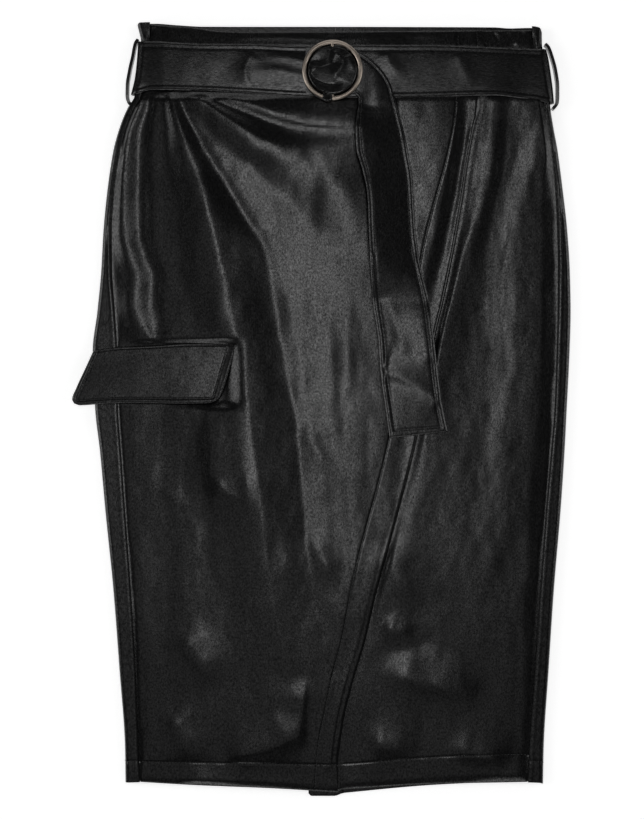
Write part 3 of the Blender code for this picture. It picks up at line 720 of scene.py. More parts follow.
@dataclass
class SkirtForm:
    """The outline, layer heights and folds that all the panels share."""

    wall: float = 1.2
    strap: float = 2.0
    gap: float = 0.3
    hollow: float = 6.0
    front_rise: tuple[float, float] = (225.0, 258.0)
    back_rise: tuple[float, float] = (262.0, 290.0)
    centre_back: float = 13.0
    wrap_corner: float = 15.6
    belt_foot: float = 306.0
    # Y, and X of the right fold, right seam, left seam and left fold
    levels: Points = (
        (372, -178, -165, 201, 211.5), (350, -173.7, -166, 203, 211.8),
        (338, -175.4, -168, 205, 214.8), (326, -176.8, -169.6, 207, 216.6),
        (301, -180.6, -174, 211.8, 219), (292, -186.2, -179.5, 214.1, 219.6),
        (273, -194.4, -187.7, 217, 222.6), (249, -201.1, -193.9, 220.3, 227),
        (211, -206.9, -199.7, 224.2, 232.1), (172, -210.7, -202.1, 226.1, 236.4),
        (134, -212.8, -201.8, 226.8, 238.8), (95, -216.5, -199.2, 226.5, 239.6),
        (57, -221, -197, 225.6, 238.6), (0, -218.6, -196.1, 223.5, 235.8),
        (-39, -214.1, -193.4, 220.3, 233.8), (-97, -208.8, -189.3, 215.3, 229.9),
        (-173, -201.1, -183.8, 209.8, 223.5), (-250, -195.2, -179.3, 204.7, 218.4),
        (-327, -189.8, -176.4, 199.2, 213.6), (-372, -189.2, -174, 197, 212.8),
    )
    wrap: Points = (
        (372, 148.3), (326, 150.5), (292, 151.7), (273, 147.1), (239, 140.8), (204, 135.7), (163, 128.7),
        (105, 117), (74, 109.6), (-26, 91.7), (-113, 69.6), (-176, 52.3), (-221, 41.8), (-263, 29.3),
        (-300, 20.6), (-342, 15.8), (-372, 15.4))
    facing: Points = (
        (372, 131), (288, 128), (258.7, 123.4), (162.7, 98.4), (121.4, 90.8), (-30, 63.9), (-161, 30.3),
        (-221, 18.8), (-258, 9.2), (-291, 2.4), (-314, -2.4), (-337, -5.2), (-372, -7.4))
    over_hem: Points = (
        (-174.2, -357.6), (-124, -360.5), (-49, -363.4), (14, -367))
    hem_puff: Points = (
        (-190, 0.5), (-140, 0.8), (-118, 3.3), (-70, 1.7), (-45, 1.6), (5, 0.8), (30, 1.6), (60, 0.9),
        (110, 1), (135, 1.3), (186, 3), (205, 0.6))
    over_hem_stitch: Points = (
        (-190, -337.4), (-124, -338.6), (-49, -339.6), (14, -340.6))
    under_hem: Points = (
        (15.8, -364.8), (104, -359.5), (197, -357.6))
    under_hem_stitch: Points = (
        (15.8, -340.4), (36, -339.1), (104, -333.6), (152, -331.4), (190, -330.8), (214, -334))
    front_waist: Points = (
        (-165, 370.5), (-149, 369.4), (-127, 367.6), (-98, 363.6), (-79, 362.9), (147, 364.3), (201, 365))
    tail_inner: Points = (
        (281, 32.6), (268, 32), (250, 32.8), (228, 38.9), (204, 43.5), (169.5, 44.8), (135.3, 46.6),
        (101, 49.2), (66.7, 54.2), (36, 56.2), (5, 60.5), (-27, 64.8))
    tail_outer: Points = (
        (281, 74.5), (264, 79), (243, 83), (222, 86.5), (196, 88), (172, 89.5), (138, 94.5), (104, 102.5),
        (69, 107), (34, 111), (3, 115.5), (-21, 120.5))
    over_folds: tuple[Fold, ...] = (
        Fold("seam ridge", (
            (290, -177, 2.4), (265, -187, 2.7), (233, -191, 3), (201, -192, 3), (169, -191, 3),
            (148, -186, 3.2), (127, -180, 3.4), (105, -182, 3.3), (86, -177, 3.4), (68, -166, 3.4),
            (57, -168, 2), (0, -178, 0.8), (-100, -174, 0.6), (-250, -167, 0.6), (-360, -162, 0.6))),
        Fold("seam hollow", (
            (290, -168, 0.9), (265, -177, 0.9), (233, -179, 0.9), (169, -178, 0.9), (148, -172, 0.9),
            (127, -165, 1), (105, -165, 1.2), (86, -160, 1.8), (57, -158, 1.7), (0, -164, 0.8),
            (-100, -162, 0.7), (-250, -155, 0.7))),
        Fold("seam valley", (
            (290, -165, 0.5), (265, -174, 0.4), (233, -176, 0.4), (169, -175, 0.4), (148, -169, 0.5),
            (127, -162, 0.6), (105, -162, 1), (86, -157, 1.7), (57, -154, 1.7), (0, -156, 0.8),
            (-100, -154, 0.7), (-250, -148, 0.7))),
        Fold("hip crest", (
            (290, -160, 2.2), (201, -161, 2.4), (169, -160, 2.4), (148, -156, 2.5), (127, -150, 2.6),
            (105, -150, 2.7), (57, -146, 2.4), (0, -140, 1.4), (-100, -136, 1.2), (-250, -128, 1))),
        Fold("hip valley", (
            (297, -152, 2.3), (266, -152, 2.5), (230, -150, 2.8), (201, -148, 3), (172, -146, 3.1),
            (134, -138, 3.3), (95, -132, 3.4), (57, -122, 3.2), (0, -116, 2.2), (-68, -116, 1.8),
            (-154, -104, 1.4), (-250, -90, 1.1))),
        Fold("body crest", (
            (297, -145, 4.6), (278, -139, 5.6), (249, -129, 6.6), (222, -119, 7.3), (191, -110, 7.9),
            (153, -100, 8.4), (115, -92, 8.5), (84, -86, 8.3), (57, -80, 7.4), (28, -76, 6.9),
            (-10, -70, 6.6), (-68, -62, 6), (-125, -56, 5.2), (-183, -48, 4), (-230, -38, 2.6),
            (-290, -26, 1.1))),
        Fold("body shoulder", (
            (297, -142, 4.2), (278, -136, 5.1), (249, -125, 6), (222, -115, 6.8), (191, -106, 7.4),
            (153, -96, 7.9), (115, -87, 8), (84, -81, 7.7), (57, -75, 6.9), (28, -71, 6.5), (-25, -63, 6),
            (-96, -54, 5.2), (-154, -47, 4.2), (-183, -43, 3.6), (-212, -36, 2.7), (-250, -26, 1.6),
            (-290, -18, 0.8))),
        Fold("body foot", (
            (297, -137, 3.2), (280, -131, 2.8), (259, -120, 2.6), (223, -99, 2.4), (190, -80, 2.1),
            (150, -57, 1.7), (115, -51, 1.5), (84, -45, 1.2), (57, -41, 1.1), (28, -36, 1), (-10, -28, 0.9),
            (-68, -23, 0.9), (-125, -18, 0.8), (-183, -10, 0.7), (-212, -3, 0.6), (-250, 9, 0.5))),
        Fold("plate trough", (
            (297, -134, 2.7), (280, -128, 2.3), (259, -117, 2.1), (223, -96, 1.9), (190, -77, 1.6),
            (150, -54, 1.2), (115, -47, 1), (84, -42, 0.8), (57, -38, 0.7), (28, -33, 0.6), (-10, -25, 0.5),
            (-68, -20, 0.5), (-125, -15, 0.5), (-183, -7, 0.5), (-212, 0, 0.4), (-250, 13, 0.3))),
        Fold("plate crest", (
            (297, -128, 3.6), (280, -121, 3.3), (259, -109, 3), (223, -87, 2.6), (190, -66, 2.2),
            (150, -42, 1.7), (115, -32, 1.5), (84, -26, 1.3), (57, -22, 1.2), (28, -17, 1.1), (-10, -10, 1),
            (-68, -5, 1), (-125, 0, 1), (-183, 8, 0.9), (-212, 15, 0.7), (-250, 24, 0.5))),
        Fold("middle trough", (
            (297, -30, 1.8), (250, -12, 1.9), (230, -8, 1.4), (200, -9, 1.3), (165, -11, 1.7),
            (134, -2, 1.6), (76, 4, 1.2), (28, 8, 1), (-39, 10, 0.9), (-96, 16, 0.8), (-154, 22, 0.7),
            (-212, 30, 0.5))),
        Fold("middle crest", (
            (297, 0, 2.1), (250, 2, 2.1), (230, 6, 2.3), (200, 8, 2.2), (165, 8, 2), (134, 14, 1.8),
            (76, 16, 1.6), (28, 20, 1.6), (-39, 26, 1.7), (-96, 30, 1.5), (-154, 34, 1.1),
            (-212, 36, 0.7))),
        Fold("plate right", (
            (297, 50, 1.2), (230, 60, 1.2), (150, 62, 1.2), (76, 60, 1.2), (-39, 56, 1.2), (-96, 50, 1),
            (-154, 44, 0.8))),
        Fold("facing crest", (
            (297, 126, 2), (268, 124, 2.6), (230, 119, 2.8), (191, 111, 2.6), (150, 102, 2.2),
            (115, 94, 1.7), (57, 82, 1.2), (-39, 66, 1.1), (-154, 50, 0.8), (-250, 35, 0.5))),
        Fold("band valley", (
            (297, 138, 0.9), (268, 137, 0.8), (230, 132, 0.8), (191, 125, 0.8), (150, 116, 0.7),
            (115, 108, 0.6), (57, 96, 0.5), (-39, 79, 0.6), (-154, 60, 0.5), (-250, 42, 0.4))),
        Fold("band crest", (
            (297, 148, 1.6), (268, 147, 1.7), (230, 143, 1.7), (191, 136, 1.7), (150, 127, 1.6),
            (115, 119, 1.4), (57, 107, 1), (-39, 88, 0.8), (-154, 66, 0.6), (-250, 47, 0.4))),
    )
    under_folds: tuple[Fold, ...] = (
        Fold("edge crest", (
            (303, 166, 1.2), (249, 163, 1.6), (205, 156, 1.6), (180, 147, 1.7), (160, 139, 2),
            (115, 127, 2), (57, 112, 1.6), (-26, 100, 0.9), (-113, 88, 0.6), (-221, 66, 0.45),
            (-342, 42, 0.4))),
        Fold("edge foot", (
            (303, 180, 0.6), (249, 177, 0.3), (191, 166, 0.3), (150, 159, 0.2), (115, 156, 0.15),
            (57, 148, 0.2), (-26, 132, 0.4), (-113, 112, 0.4), (-221, 88, 0.4))),
        Fold("left foot", (
            (303, 184, 0.8), (249, 186, 0.4), (222, 176, 0.3), (191, 167, 0.3), (153, 162, 0.3),
            (115, 161, 0.3), (76, 160, 0.3), (28, 158, 0.3), (-39, 152, 0.4), (-96, 146, 0.5),
            (-221, 124, 0.5))),
        Fold("left crest", (
            (303, 204, 2), (268, 212, 2.3), (249, 210, 2.3), (222, 201, 2.1), (191, 193, 2),
            (153, 190, 1.9), (115, 189, 1.8), (76, 188, 1.7), (38, 186, 1.5), (10, 182, 1.4),
            (-20, 176, 1.2), (-60, 170, 1.1), (-125, 164, 1), (-250, 160, 0.9))),
        Fold("left side", (
            (303, 208, 2.1), (249, 215, 2.2), (222, 212, 2.1), (191, 209, 2), (115, 210, 1.9),
            (38, 208, 1.6), (-60, 200, 1.1), (-125, 196, 1), (-250, 190, 0.8))),
    )
    sweep_foot: Points = (
        (-130, 288), (-97, 252), (-72, 232), (-40, 203), (-16, 180), (30, 135), (60, 125))
    sweep_folds: tuple[Fold, ...] = (
        Fold("sweep crest", (
            (-130, 302, 2), (-118, 298, 3.2), (-97, 283, 4.2), (-72, 265, 4.4), (-40, 246, 4.2),
            (-16, 233, 4), (4, 222, 3.8), (27, 205, 3.4), (45, 195, 2.8), (60, 190, 1.8))),
        Fold("sweep valley", (
            (-130, 302.5, 1.6), (-110, 299, 1.4), (-97, 294, 1), (-72, 286, 0.7), (-40, 275, 0.4),
            (-11, 269, 0.3), (27, 267, 0.2), (60, 267, 0.2))),
        Fold("waist crest", (
            (-130, 303, 1.6), (-97, 300, 1.7), (-72, 292, 2.4), (-40, 281, 2.2), (-11, 275, 2),
            (27, 273, 1.6), (60, 273, 0.6))),
    )
    creases: tuple[Crease, ...] = (
        # The middle
        Crease(((-20, -14), (-4, -40), (12, -66)), 0.9, 9, 8, 3.0, 0.3),
        Crease(((-16, -118), (4, -146), (22, -170)), 0.9, 9, 7, 3.0, 0.3),
        Crease(((28, 114), (24, 60), (30, 10)), 0.8, 8, 9, 3.0, 0.3),
        # Over the flap, and the right body's lower part
        Crease(((-168, 70), (-130, 71), (-88, 65)), 1.3, 6, 5, 2.0, 0.2),
        Crease(((-140, -205), (-120, -238), (-100, -272)), 2.7, 14, 19, 5.0, 0.35),
        Crease(((-150, -286), (-134, -315), (-120, -345)), 2.3, 12, 16, 5.0, 0.3),
        Crease(((-96, -332), (-56, -325), (-12, -305)), 2.7, 10, 30, 4.0, 0.25, 0.3),
        Crease(((-16, -255), (-20, -290), (-24, -335)), 2.2, 18, 6, 2.5, 0.3),
        Crease(((-105, -61), (-90, -81), (-74, -84)), 1.1, 6, 6, 2.0, 0.3),
        Crease(((-74, -58), (-72, -80), (-72, -106)), 1.0, 6, 7, 2.0, 0.3),
        Crease(((-108, 12), (-107, -30), (-104, -75), (-98, -112)), 2.2, 9, 26, 4.0, 0.3),
        Crease(((-158, -76), (-140, -86), (-118, -96)), 0.5, 7, 7, 2.0, 0.3),
        # The under front
        Crease(((60, -120), (71, -154), (82, -200)), 1.8, 14, 16, 6.0, 0.35),
        Crease(((52, -250), (97, -262), (163, -274)), 2.6, 12, 22, 4.0, 0.3),
        Crease(((56, -205), (72, -212), (92, -210)), 1.5, 8, 10, 3.0, 0.3),
        Crease(((112, -212), (80, -230), (44, -224)), -1.2, 10, 12, 5.0, 0.3),
        Crease(((40, -318), (60, -322), (96, -326)), 2.2, 9, 16, 4.0, 0.3),
        Crease(((118, -322), (150, -331), (190, -336)), 2.0, 9, 15, 4.0, 0.3),
    )
    waist_creases: tuple[Crease, ...] = (
        Crease(((-165, 368), (-158, 360), (-150, 354)), -0.8, 3, 4, 1.0, 0.2, 0.2),
        Crease(((-152, 366), (-140, 363), (-124, 356)), 0.7, 4, 4, 1.2, 0.2),
        Crease(((-96, 357), (-40, 358), (10, 356), (60, 358)), 0.5, 3, 4, 1.5, 0.2, 0.2),
        Crease(((4, 358), (12, 354), (22, 352)), 0.6, 3, 3, 1.0, 0.2),
        Crease(((84, 358), (96, 360), (120, 357)), 0.5, 4, 4, 1.5, 0.2),
        Crease(((169, 362), (162, 357), (155, 351)), -0.8, 3, 3, 1.0, 0.2, 0.2),
        Crease(((181, 363), (173, 357), (166, 351)), -0.7, 3, 3, 1.0, 0.2, 0.2),
        Crease(((197, 362), (190, 356), (184, 350)), 0.7, 3, 4, 1.0, 0.2, 0.2),
    )

    def __post_init__(self) -> None:
        """Turn the tables into curves."""
        self.right_fold, self.right_seam, self.left_seam, self.left_fold = (
            through((row[0], row[column]) for row in self.levels) for column in range(1, 5))
        self.wrap_edge, self.facing_line = through(self.wrap), through(self.facing)
        self.tail_right, self.tail_left = through(self.tail_inner), through(self.tail_outer)
        self.waist_line, self.puff_at = through(self.front_waist), through(self.hem_puff)
        self.skirt_low = self.wall + self.hollow
        self.back_lift = self.strap + self.gap
        self.over_rise = self.wall + self.gap

    def under_edge(self, y: Array) -> Array:
        """Return the hidden edge of the under front, a mirror of the wrap edge."""
        return 2 * self.wrap_corner - self.wrap_edge(y) + self.gap

    def back_height(self, y: Array) -> Array:
        """Return the height of the back panels' outer face."""
        return self.back_lift * ease(y, *self.back_rise)

    def front_height(self, y: Array) -> Array:
        """Return the height of the under front's inner face."""
        return self.skirt_low + self.back_lift * ease(y, *self.front_rise)

    def over_lift(self, x: Array, y: Array) -> Array:
        """Return how far the wrap front is raised by the under front."""
        return self.over_rise * ease(x, self.right_seam(y) + 8.0, self.under_edge(y) - 4.0)

    def drape(self, x: Array, y: Array) -> Array:
        """Return how high the fronts' folds stand, calm at seams, edges, belt, flap and tail.

        Args:
            x: Places across.
            y: Places along.

        Returns:
            Heights in millimetres.
        """
        x, y = np.broadcast_arrays(np.asarray(x, float), np.asarray(y, float))
        edge, right, left = self.wrap_edge(y), self.right_seam(y), self.left_seam(y)
        height = np.where(x <= edge, lofted(self.over_folds, x, y, right, edge),
                          lofted(self.under_folds, x, y, edge, left))
        sweep = lofted(self.sweep_folds, y, x, through(self.sweep_foot)(x), self.belt_foot + 0.0 * x)
        height = height + sweep * ease(x, -134.0, -116.0) * ease(x, 76.0, 56.0)
        height = height + creased(self.creases, x, y)
        height = height + 0.07 * swells(x, y, (5.5, 13.0), 9)
        wide, narrow = swells(x, y, (26.0, 48.0), 3), swells(x, y, (11.0, 19.0), 8)
        height = height + 0.35 * (1 + wide) + 0.14 * (1 + narrow)
        height = (height + np.sqrt(height**2 + 0.09)) / 2
        height = height * ease(x, right + 0.3, right + 5.0) * ease(x, left - 0.3, left - 5.0)
        height = height * np.where(x <= edge, ease(edge - x, -2.5, 3.0), ease(x - edge, -6.0, 6.0))
        by_flap = ease(x, -72.0, -96.0) * ease(y, 70.0, 61.0) * ease(y, -2.0, 10.0)
        by_tail = ease(x - self.tail_right(y), 0.5, 8.0) * ease(self.tail_left(y) - x, 0.5, 8.0)
        by_tail = by_tail * ease(y, -24.0, -12.0)
        height = height * (1 - 0.82 * by_flap) * (1 - 0.85 * by_tail)
        return height * ease(y, self.belt_foot, 297.0) * ease(y, -362.0, -330.0)

    def waist_relief(self, x: Array, y: Array) -> Array:
        """Return the height of the small folds over the belt."""
        relief = creased(self.waist_creases, x, y)
        return (relief + 0.12 * swells(x, y, (30.0, 30.0), 12) - 0.1 * (y - 351.0)) * ease(y, 347.0, 351.0)

    def top(self, x: Array, y: Array) -> Array:
        """Return the height of the wrap front's face."""
        return self.front_height(y) + self.wall + self.over_lift(x, y) + self.drape(x, y)


# Panels


def measured(outer: Array, flat: tuple[float, float], digits: int = 4) -> float:
    """Return the area that a laid sheet states, in square metres.

    Args:
        outer: Places of its outer face.
        flat: Its flat size, which the area can't pass.
        digits: How finely it is rounded.

    Returns:
        The area.
    """
    along, across = np.diff(outer, axis=0)[:, :-1], np.diff(outer, axis=1)[:-1]
    area = float(np.linalg.norm(np.cross(across, along), axis=2).sum()) * MM * MM
    return round(min(area, flat[0] * flat[1]), digits)


def declare(piece: bpy.types.Object, node: str, flat: tuple[float, float], held: str,
            rests_on: Sequence[str], **area: float) -> bpy.types.Object:
    """Hide the CAD node that a piece of cloth replaces.

    Args:
        piece: The piece.
        node: The CAD node that it replaces.
        flat: Its flat size in metres. Not used.
        held: How it is held. Not used.
        rests_on: What it lies on. Not used.
        area: Its area, where one is given. Not used.

    Returns:
        The piece.
    """
    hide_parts(node)
    return piece


@dataclass
class Front:
    """What the two fronts share: their rows, their hem and their waist edge.

    Each front adds its own hem and stitch curves, columns, height and pressed film.
    """

    form: SkirtForm

    def surface(self, x: Array, y: Array) -> Array:
        """Return places on the panel's face."""
        return places(x, y, self.height(x, y))

    def rows(self) -> Stations:
        """Return the mesh's rows, close together at the hem, its stitching and the waist."""
        return Stations((
            *rails(self.hem, 0.0, 0.3, 1.2, 3.0),
            *rails(self.stitch, (-3.5, 8), (-1.5, 2), -0.7, 0.0, 0.7, 1.5, (3.5, 2)),
            Rail(level_at(300.0), 0.0, self.body_rows), Rail(level_at(348.0), 0.0, 8),
            *rails(self.form.waist_line, (-3.0, 7), -1.2, -0.3, 0.0)))

    def puff(self, x: Array, y: Array) -> Array:
        """Return how the turned hem puffs up above its edge."""
        hem = self.hem(x)
        down = np.clip((y - hem) / (self.stitch(x) - hem), 0.0, 1.0)
        return self.form.puff_at(x) * (1 - down) * ease(down, -0.05, 0.32)

    def ends(self, x: Array, y: Array) -> Array:
        """Return how the face rolls down at the hem and at the waist edge."""
        return rounded(y - self.hem(x), 1.4, 0.6) + rounded(self.form.waist_line(x) - y, 1.4, 0.5)

    def build(self, finishes: Wardrobe) -> bpy.types.Object:
        """Build the panel and hide the CAD node that it replaces.

        Args:
            finishes: The finishes.

        Returns:
            The panel.
        """
        columns, rows = self.columns(), self.rows()
        _, x, y = settled(columns.count, rows, columns.at)
        outer = self.surface(x, y).reshape(rows.count + 1, columns.count + 1, 3)
        inner = outer - outward(outer) * self.form.wall
        pressed = self.pressed(outer[..., 0], outer[..., 1])
        piece = shell(self.name, outer, inner, finishes.lengthwise, pressed)
        return declare(piece, self.node, self.flat, "laid", self.rests_on, area=measured(outer, self.flat))


@dataclass
class WrapFront(Front):
    """The wrap front, from the right side seam to its faced free edge."""

    name: ClassVar[str] = "wrap_front_cloth"
    node: ClassVar[str] = "front_over"
    rests_on: ClassVar[tuple[str, ...]] = ("front_under",)
    body_columns: int = 108
    band_columns: int = 15
    body_rows: int = 246
    flat: tuple[float, float] = (0.345, 0.760)

    def __post_init__(self) -> None:
        """Turn the hem and its stitching into curves."""
        self.hem, self.stitch = through(self.form.over_hem), through(self.form.over_hem_stitch)

    def columns(self) -> Stations:
        """Return the mesh's columns, close together at the seam, the facing line and the edge."""
        return Stations((
            *rails(self.form.right_seam, 0.15, 1.0, 2.2, (6.0, 2)),
            *rails(self.form.facing_line, (-4.0, self.body_columns), (-1.5, 2), -0.7, 0.0, 0.7, 1.5,
                   (4.0, 2)),
            *rails(self.form.wrap_edge, (-5.0, self.band_columns), (-2.4, 2), (-1.0, 2), -0.3, 0.0)))

    def height(self, x: Array, y: Array) -> Array:
        """Return the height of the panel's face, with its hem, facing and seam pressed in."""
        form = self.form
        groove = -0.2 * bell(y - self.stitch(x), 0.8) - 0.3 * bell(x - form.facing_line(y), 0.8)
        roll = rounded(form.wrap_edge(y) - x, 1.6, 0.8)
        seam = -0.5 * bell(x - form.right_seam(y), 1.0)
        face = form.top(x, y) + form.waist_relief(x, y) + self.puff(x, y)
        return face + groove + roll + seam + self.ends(x, y)

    def pressed(self, x: Array, y: Array) -> Array:
        """Return how pressed the film is: along the hem, the facing and the edges."""
        hem, facing = bell(y - self.stitch(x), 4.0), bell(x - self.form.facing_line(y), 4.0)
        edge, seam = bell(x - self.form.wrap_edge(y), 5.0), bell(x - self.form.right_seam(y), 4.0)
        return np.clip(hem + facing + edge + seam, 0.0, 1.0)

    def seams(self) -> list[Array]:
        """Return the panel's topstitching: its facing line and its hem."""
        form = self.form
        y = np.linspace(360.0, -366.0, 700)
        first, last = form.right_seam(np.array(-338.0)) + 2.0, form.wrap_edge(np.array(-340.0)) - 2.0
        x = np.linspace(first, last, 260)
        return [seam_path(self.surface, form.facing_line(y), y), seam_path(self.surface, x, self.stitch(x))]


@dataclass
class UnderFront(Front):
    """The under front, from its hidden edge to the left side seam."""

    name: ClassVar[str] = "under_front_cloth"
    node: ClassVar[str] = "front_under"
    rests_on: ClassVar[tuple[str, ...]] = ("back_left", "back_right")
    hidden_columns: int = 16
    shown_columns: int = 62
    body_rows: int = 224
    flat: tuple[float, float] = (0.335, 0.750)

    def __post_init__(self) -> None:
        """Turn the hem and its stitching into curves."""
        self.hem, self.stitch = through(self.form.under_hem), through(self.form.under_hem_stitch)

    def columns(self) -> Stations:
        """Return the mesh's columns, close together at the seam."""
        return Stations((
            *rails(self.form.under_edge, 0.0, 2.0),
            *rails(self.form.wrap_edge, (-3.0, self.hidden_columns), (6.0, 4)),
            *rails(self.form.left_seam, (-6.0, self.shown_columns), (-2.2, 2), -1.0, -0.15)))

    def height(self, x: Array, y: Array) -> Array:
        """Return the height of the panel's face, which is plain below the wrap front."""
        form = self.form
        bare = ease(x, form.wrap_edge(y), form.wrap_edge(y) + 6.0)
        drape = np.where(bare > 0, form.drape(x, y) * bare, 0.0)
        groove = -0.25 * bell(y - self.stitch(x), 0.9)
        relief = (form.waist_relief(x, y) + self.puff(x, y) + groove) * bare
        seam = -0.5 * bell(x - form.left_seam(y), 1.0)
        return form.front_height(y) + form.wall + drape + relief + seam + self.ends(x, y)

    def pressed(self, x: Array, y: Array) -> Array:
        """Return how pressed the film is: along the hem and the seam."""
        return np.clip(bell(y - self.stitch(x), 4.0) + bell(x - self.form.left_seam(y), 4.0), 0.0, 1.0)

    def seams(self) -> list[Array]:
        """Return the hem's topstitching and the short end of the facing that shows."""
        form = self.form
        first, last = form.wrap_edge(np.array(-340.0)) + 18.0, form.left_seam(np.array(-332.0)) - 2.0
        x = np.linspace(first, last, 240)
        shown = np.linspace(0.0, 1.0, 40)
        return [seam_path(self.surface, x, self.stitch(x)),
                seam_path(self.surface, 26.2 + 9.4 * shown, -295.0 - 43.0 * shown)]


@dataclass
class BackPanel:
    """A back panel: flat from the centre-back seam, round the side fold and on to the front."""

    form: SkirtForm
    side: Side
    hem: Points
    waist: Points = (
        (-178.1, 369), (-175.2, 371.9), (-160, 372.3), (-142, 371), (-114, 369.4), (0, 369.4), (167, 368.7),
        (180, 367.8), (202, 368.3), (209, 367), (211.6, 362.5))
    creases: tuple[Crease, ...] = (
        Crease(((-150, 284), (-132, 204), (-124, 122)), 1.3, 10, 24, 4.0, 0.2),
        Crease(((-58, 262), (-51, 152), (-60, 44)), 1.1, 22, 12, 4.0, 0.25),
        Crease(((-102, -58), (-90, -150), (-97, -244)), 1.2, 14, 20, 5.0, 0.3),
        Crease(((-150, -20), (-118, -44), (-92, -50)), 0.8, 8, 10, 3.0, 0.25),
        Crease(((58, 274), (83, 184), (94, 86)), 1.3, 12, 24, 4.0, 0.2),
        Crease(((152, 246), (145, 124), (158, 18)), 1.1, 20, 10, 4.0, 0.25),
        Crease(((68, -84), (95, -172), (112, -262)), 1.2, 14, 20, 5.0, 0.3),
        Crease(((60, -190), (92, -204), (140, -200)), 0.8, 8, 12, 3.0, 0.25),
    )
    flat_cells: int = 58
    turn_cells: int = 14
    wrapped_cells: int = 13
    body_rows: int = 230
    stitch_in: float = 20.5
    flat: tuple[float, float] = (0.262, 0.755)

    def __post_init__(self) -> None:
        """Name the panel's CAD node and pick its curves."""
        self.node = f"back_{self.side.name.lower()}"
        form = self.form
        self.fold, self.seam = form.left_fold, form.left_seam
        if self.side is Side.RIGHT:
            self.fold, self.seam = form.right_fold, form.right_seam
        self.hem_line = through(self.hem)
        self.columns = self.flat_cells + self.turn_cells + self.wrapped_cells

    def section(self, index: Array, y: Array) -> tuple[Array, Array]:
        """Return X and height along the panel's section.

        Args:
            index: Which column, from the centre-back seam.
            y: Places along the skirt.

        Returns:
            X and height.
        """
        form, side = self.form, self.side.value
        fold, seam = self.fold(y), self.seam(y) + side * form.gap / 2
        top, low = form.front_height(y) + form.wall, form.back_height(y)
        middle = fold - side * (form.hollow + 2 * form.wall) / 2
        start = form.centre_back + side * 0.02
        run = np.clip(index / self.flat_cells, 0.0, 1.0)
        turn = np.clip((index - self.flat_cells) / self.turn_cells, 0.0, 1.0) * math.pi
        rest = np.clip((index - self.flat_cells - self.turn_cells) / self.wrapped_cells, 0.0, 1.0)
        x = np.where(turn > 0, middle + (fold - middle) * np.sin(turn), start + run * (middle - start))
        x = np.where(rest > 0, middle + rest * (seam - middle), x)
        z = low + (top - low) / 2 * (1 - np.cos(turn))
        inside = np.abs(x - seam)
        ridge = (0.1 + 0.3 * ease(y, 40.0, 150.0)) * bell(inside - 3.2, 1.3) - 0.5 * bell(inside, 0.9)
        z = z + ridge * (rest > 0) * ease(y, 366.0, 352.0)
        dent = 0.5 * np.clip(swells(x, y, (38.0, 95.0), 21 + side), 0.0, 1.0)
        dent = (dent + creased(self.creases, x, y)) * ease(y, -350.0, -320.0)
        dent = dent * ease(run, 0.04, 0.15) * ease(run, 0.98, 0.85)
        groove = 0.3 * bell(y - self.hem_line(x) - self.stitch_in, 1.0) * np.cos(turn)
        return x, z + groove + np.where(turn > 0, 0.0, dent)

    def surface(self, index: Array, y: Array) -> Array:
        """Return places on the panel's outer face."""
        x, z = self.section(index, y)
        return places(x, y, z)

    def seams(self) -> list[Array]:
        """Return the panel's hem stitching, from the centre-back seam round to the front."""
        index = np.linspace(0.6, self.columns - 0.8, 420)
        y = self.hem_line(self.section(index, np.full(420, -338.0))[0]) + self.stitch_in
        return [seam_path(self.surface, index, y, -0.05 * self.side.value)]

    def build(self, finishes: Wardrobe) -> bpy.types.Object:
        """Build the panel and hide the CAD node that it replaces.

        Args:
            finishes: The finishes.

        Returns:
            The panel.
        """
        rows = Stations((
            *rails(self.hem_line, 0.0, 0.3, 1.2, 3.0, (19.0, 6), (23.0, 4)),
            Rail(level_at(300.0), 0.0, self.body_rows),
            *rails(through(self.waist), (-3.0, 20), -1.2, -0.3, 0.0)))
        i, _, y = settled(self.columns, rows, lambda index, along: self.section(index, along)[0])
        outer = self.surface(i, y).reshape(rows.count + 1, self.columns + 1, 3)
        normal = outward(outer)
        if normal[10, 2, 2] > 0:
            normal = -normal
        pressed = np.clip(bell(outer[..., 1] - self.hem_line(outer[..., 0]) - 21.0, 4.0), 0.0, 1.0)
        inner = outer - normal * self.form.wall
        piece = shell(f"{self.node}_cloth", outer, inner, finishes.lengthwise, pressed)
        return declare(piece, self.node, self.flat, "laid", ["floor"], area=measured(outer, self.flat))


# The vent, the flap and the belt


@dataclass
class VentUnderlap:
    """The underlap of the centre-back vent, which lies inside the back panels."""

    form: SkirtForm
    inner: float = -13.0
    sewn: float = 21.0
    low_end: float = -372.3
    inner_top: float = -192.3
    sewn_top: float = -166.3
    columns: int = 16
    rows: int = 90
    flat: tuple[float, float] = (0.035, 0.207)

    def build(self, finishes: Wardrobe) -> bpy.types.Object:
        """Build the underlap and hide the CAD node that it replaces.

        Args:
            finishes: The finishes.

        Returns:
            The underlap.
        """
        u, v = grid_of(self.columns, self.rows)
        u, v = crowded(u, (0.0, 1.0), 0.05), crowded(v, (0.0, 1.0), 0.01)
        x = self.inner + u * (self.sewn - self.inner)
        bottom = self.low_end + 2.7 * ease(x, 12.0, 21.0) + 2.4 * ease(x, self.inner + 3.2, self.inner) ** 2
        top = self.inner_top + u * (self.sewn_top - self.inner_top)
        y = bottom + v * (top - bottom)
        low = self.form.wall + self.form.gap
        edge = np.minimum(np.minimum(x - self.inner, self.sewn - x), np.minimum(y - bottom, top - y))
        bevel = rounded(edge, 0.6, 0.35)
        outer = places(x, y, low + self.form.wall + bevel)
        piece = shell("vent_underlap_cloth", outer, places(x, y, low - bevel), finishes.lengthwise)
        return declare(piece, "vent_underlap", self.flat, "laid", ["back_right"],
                       area=measured(outer, self.flat, 5))


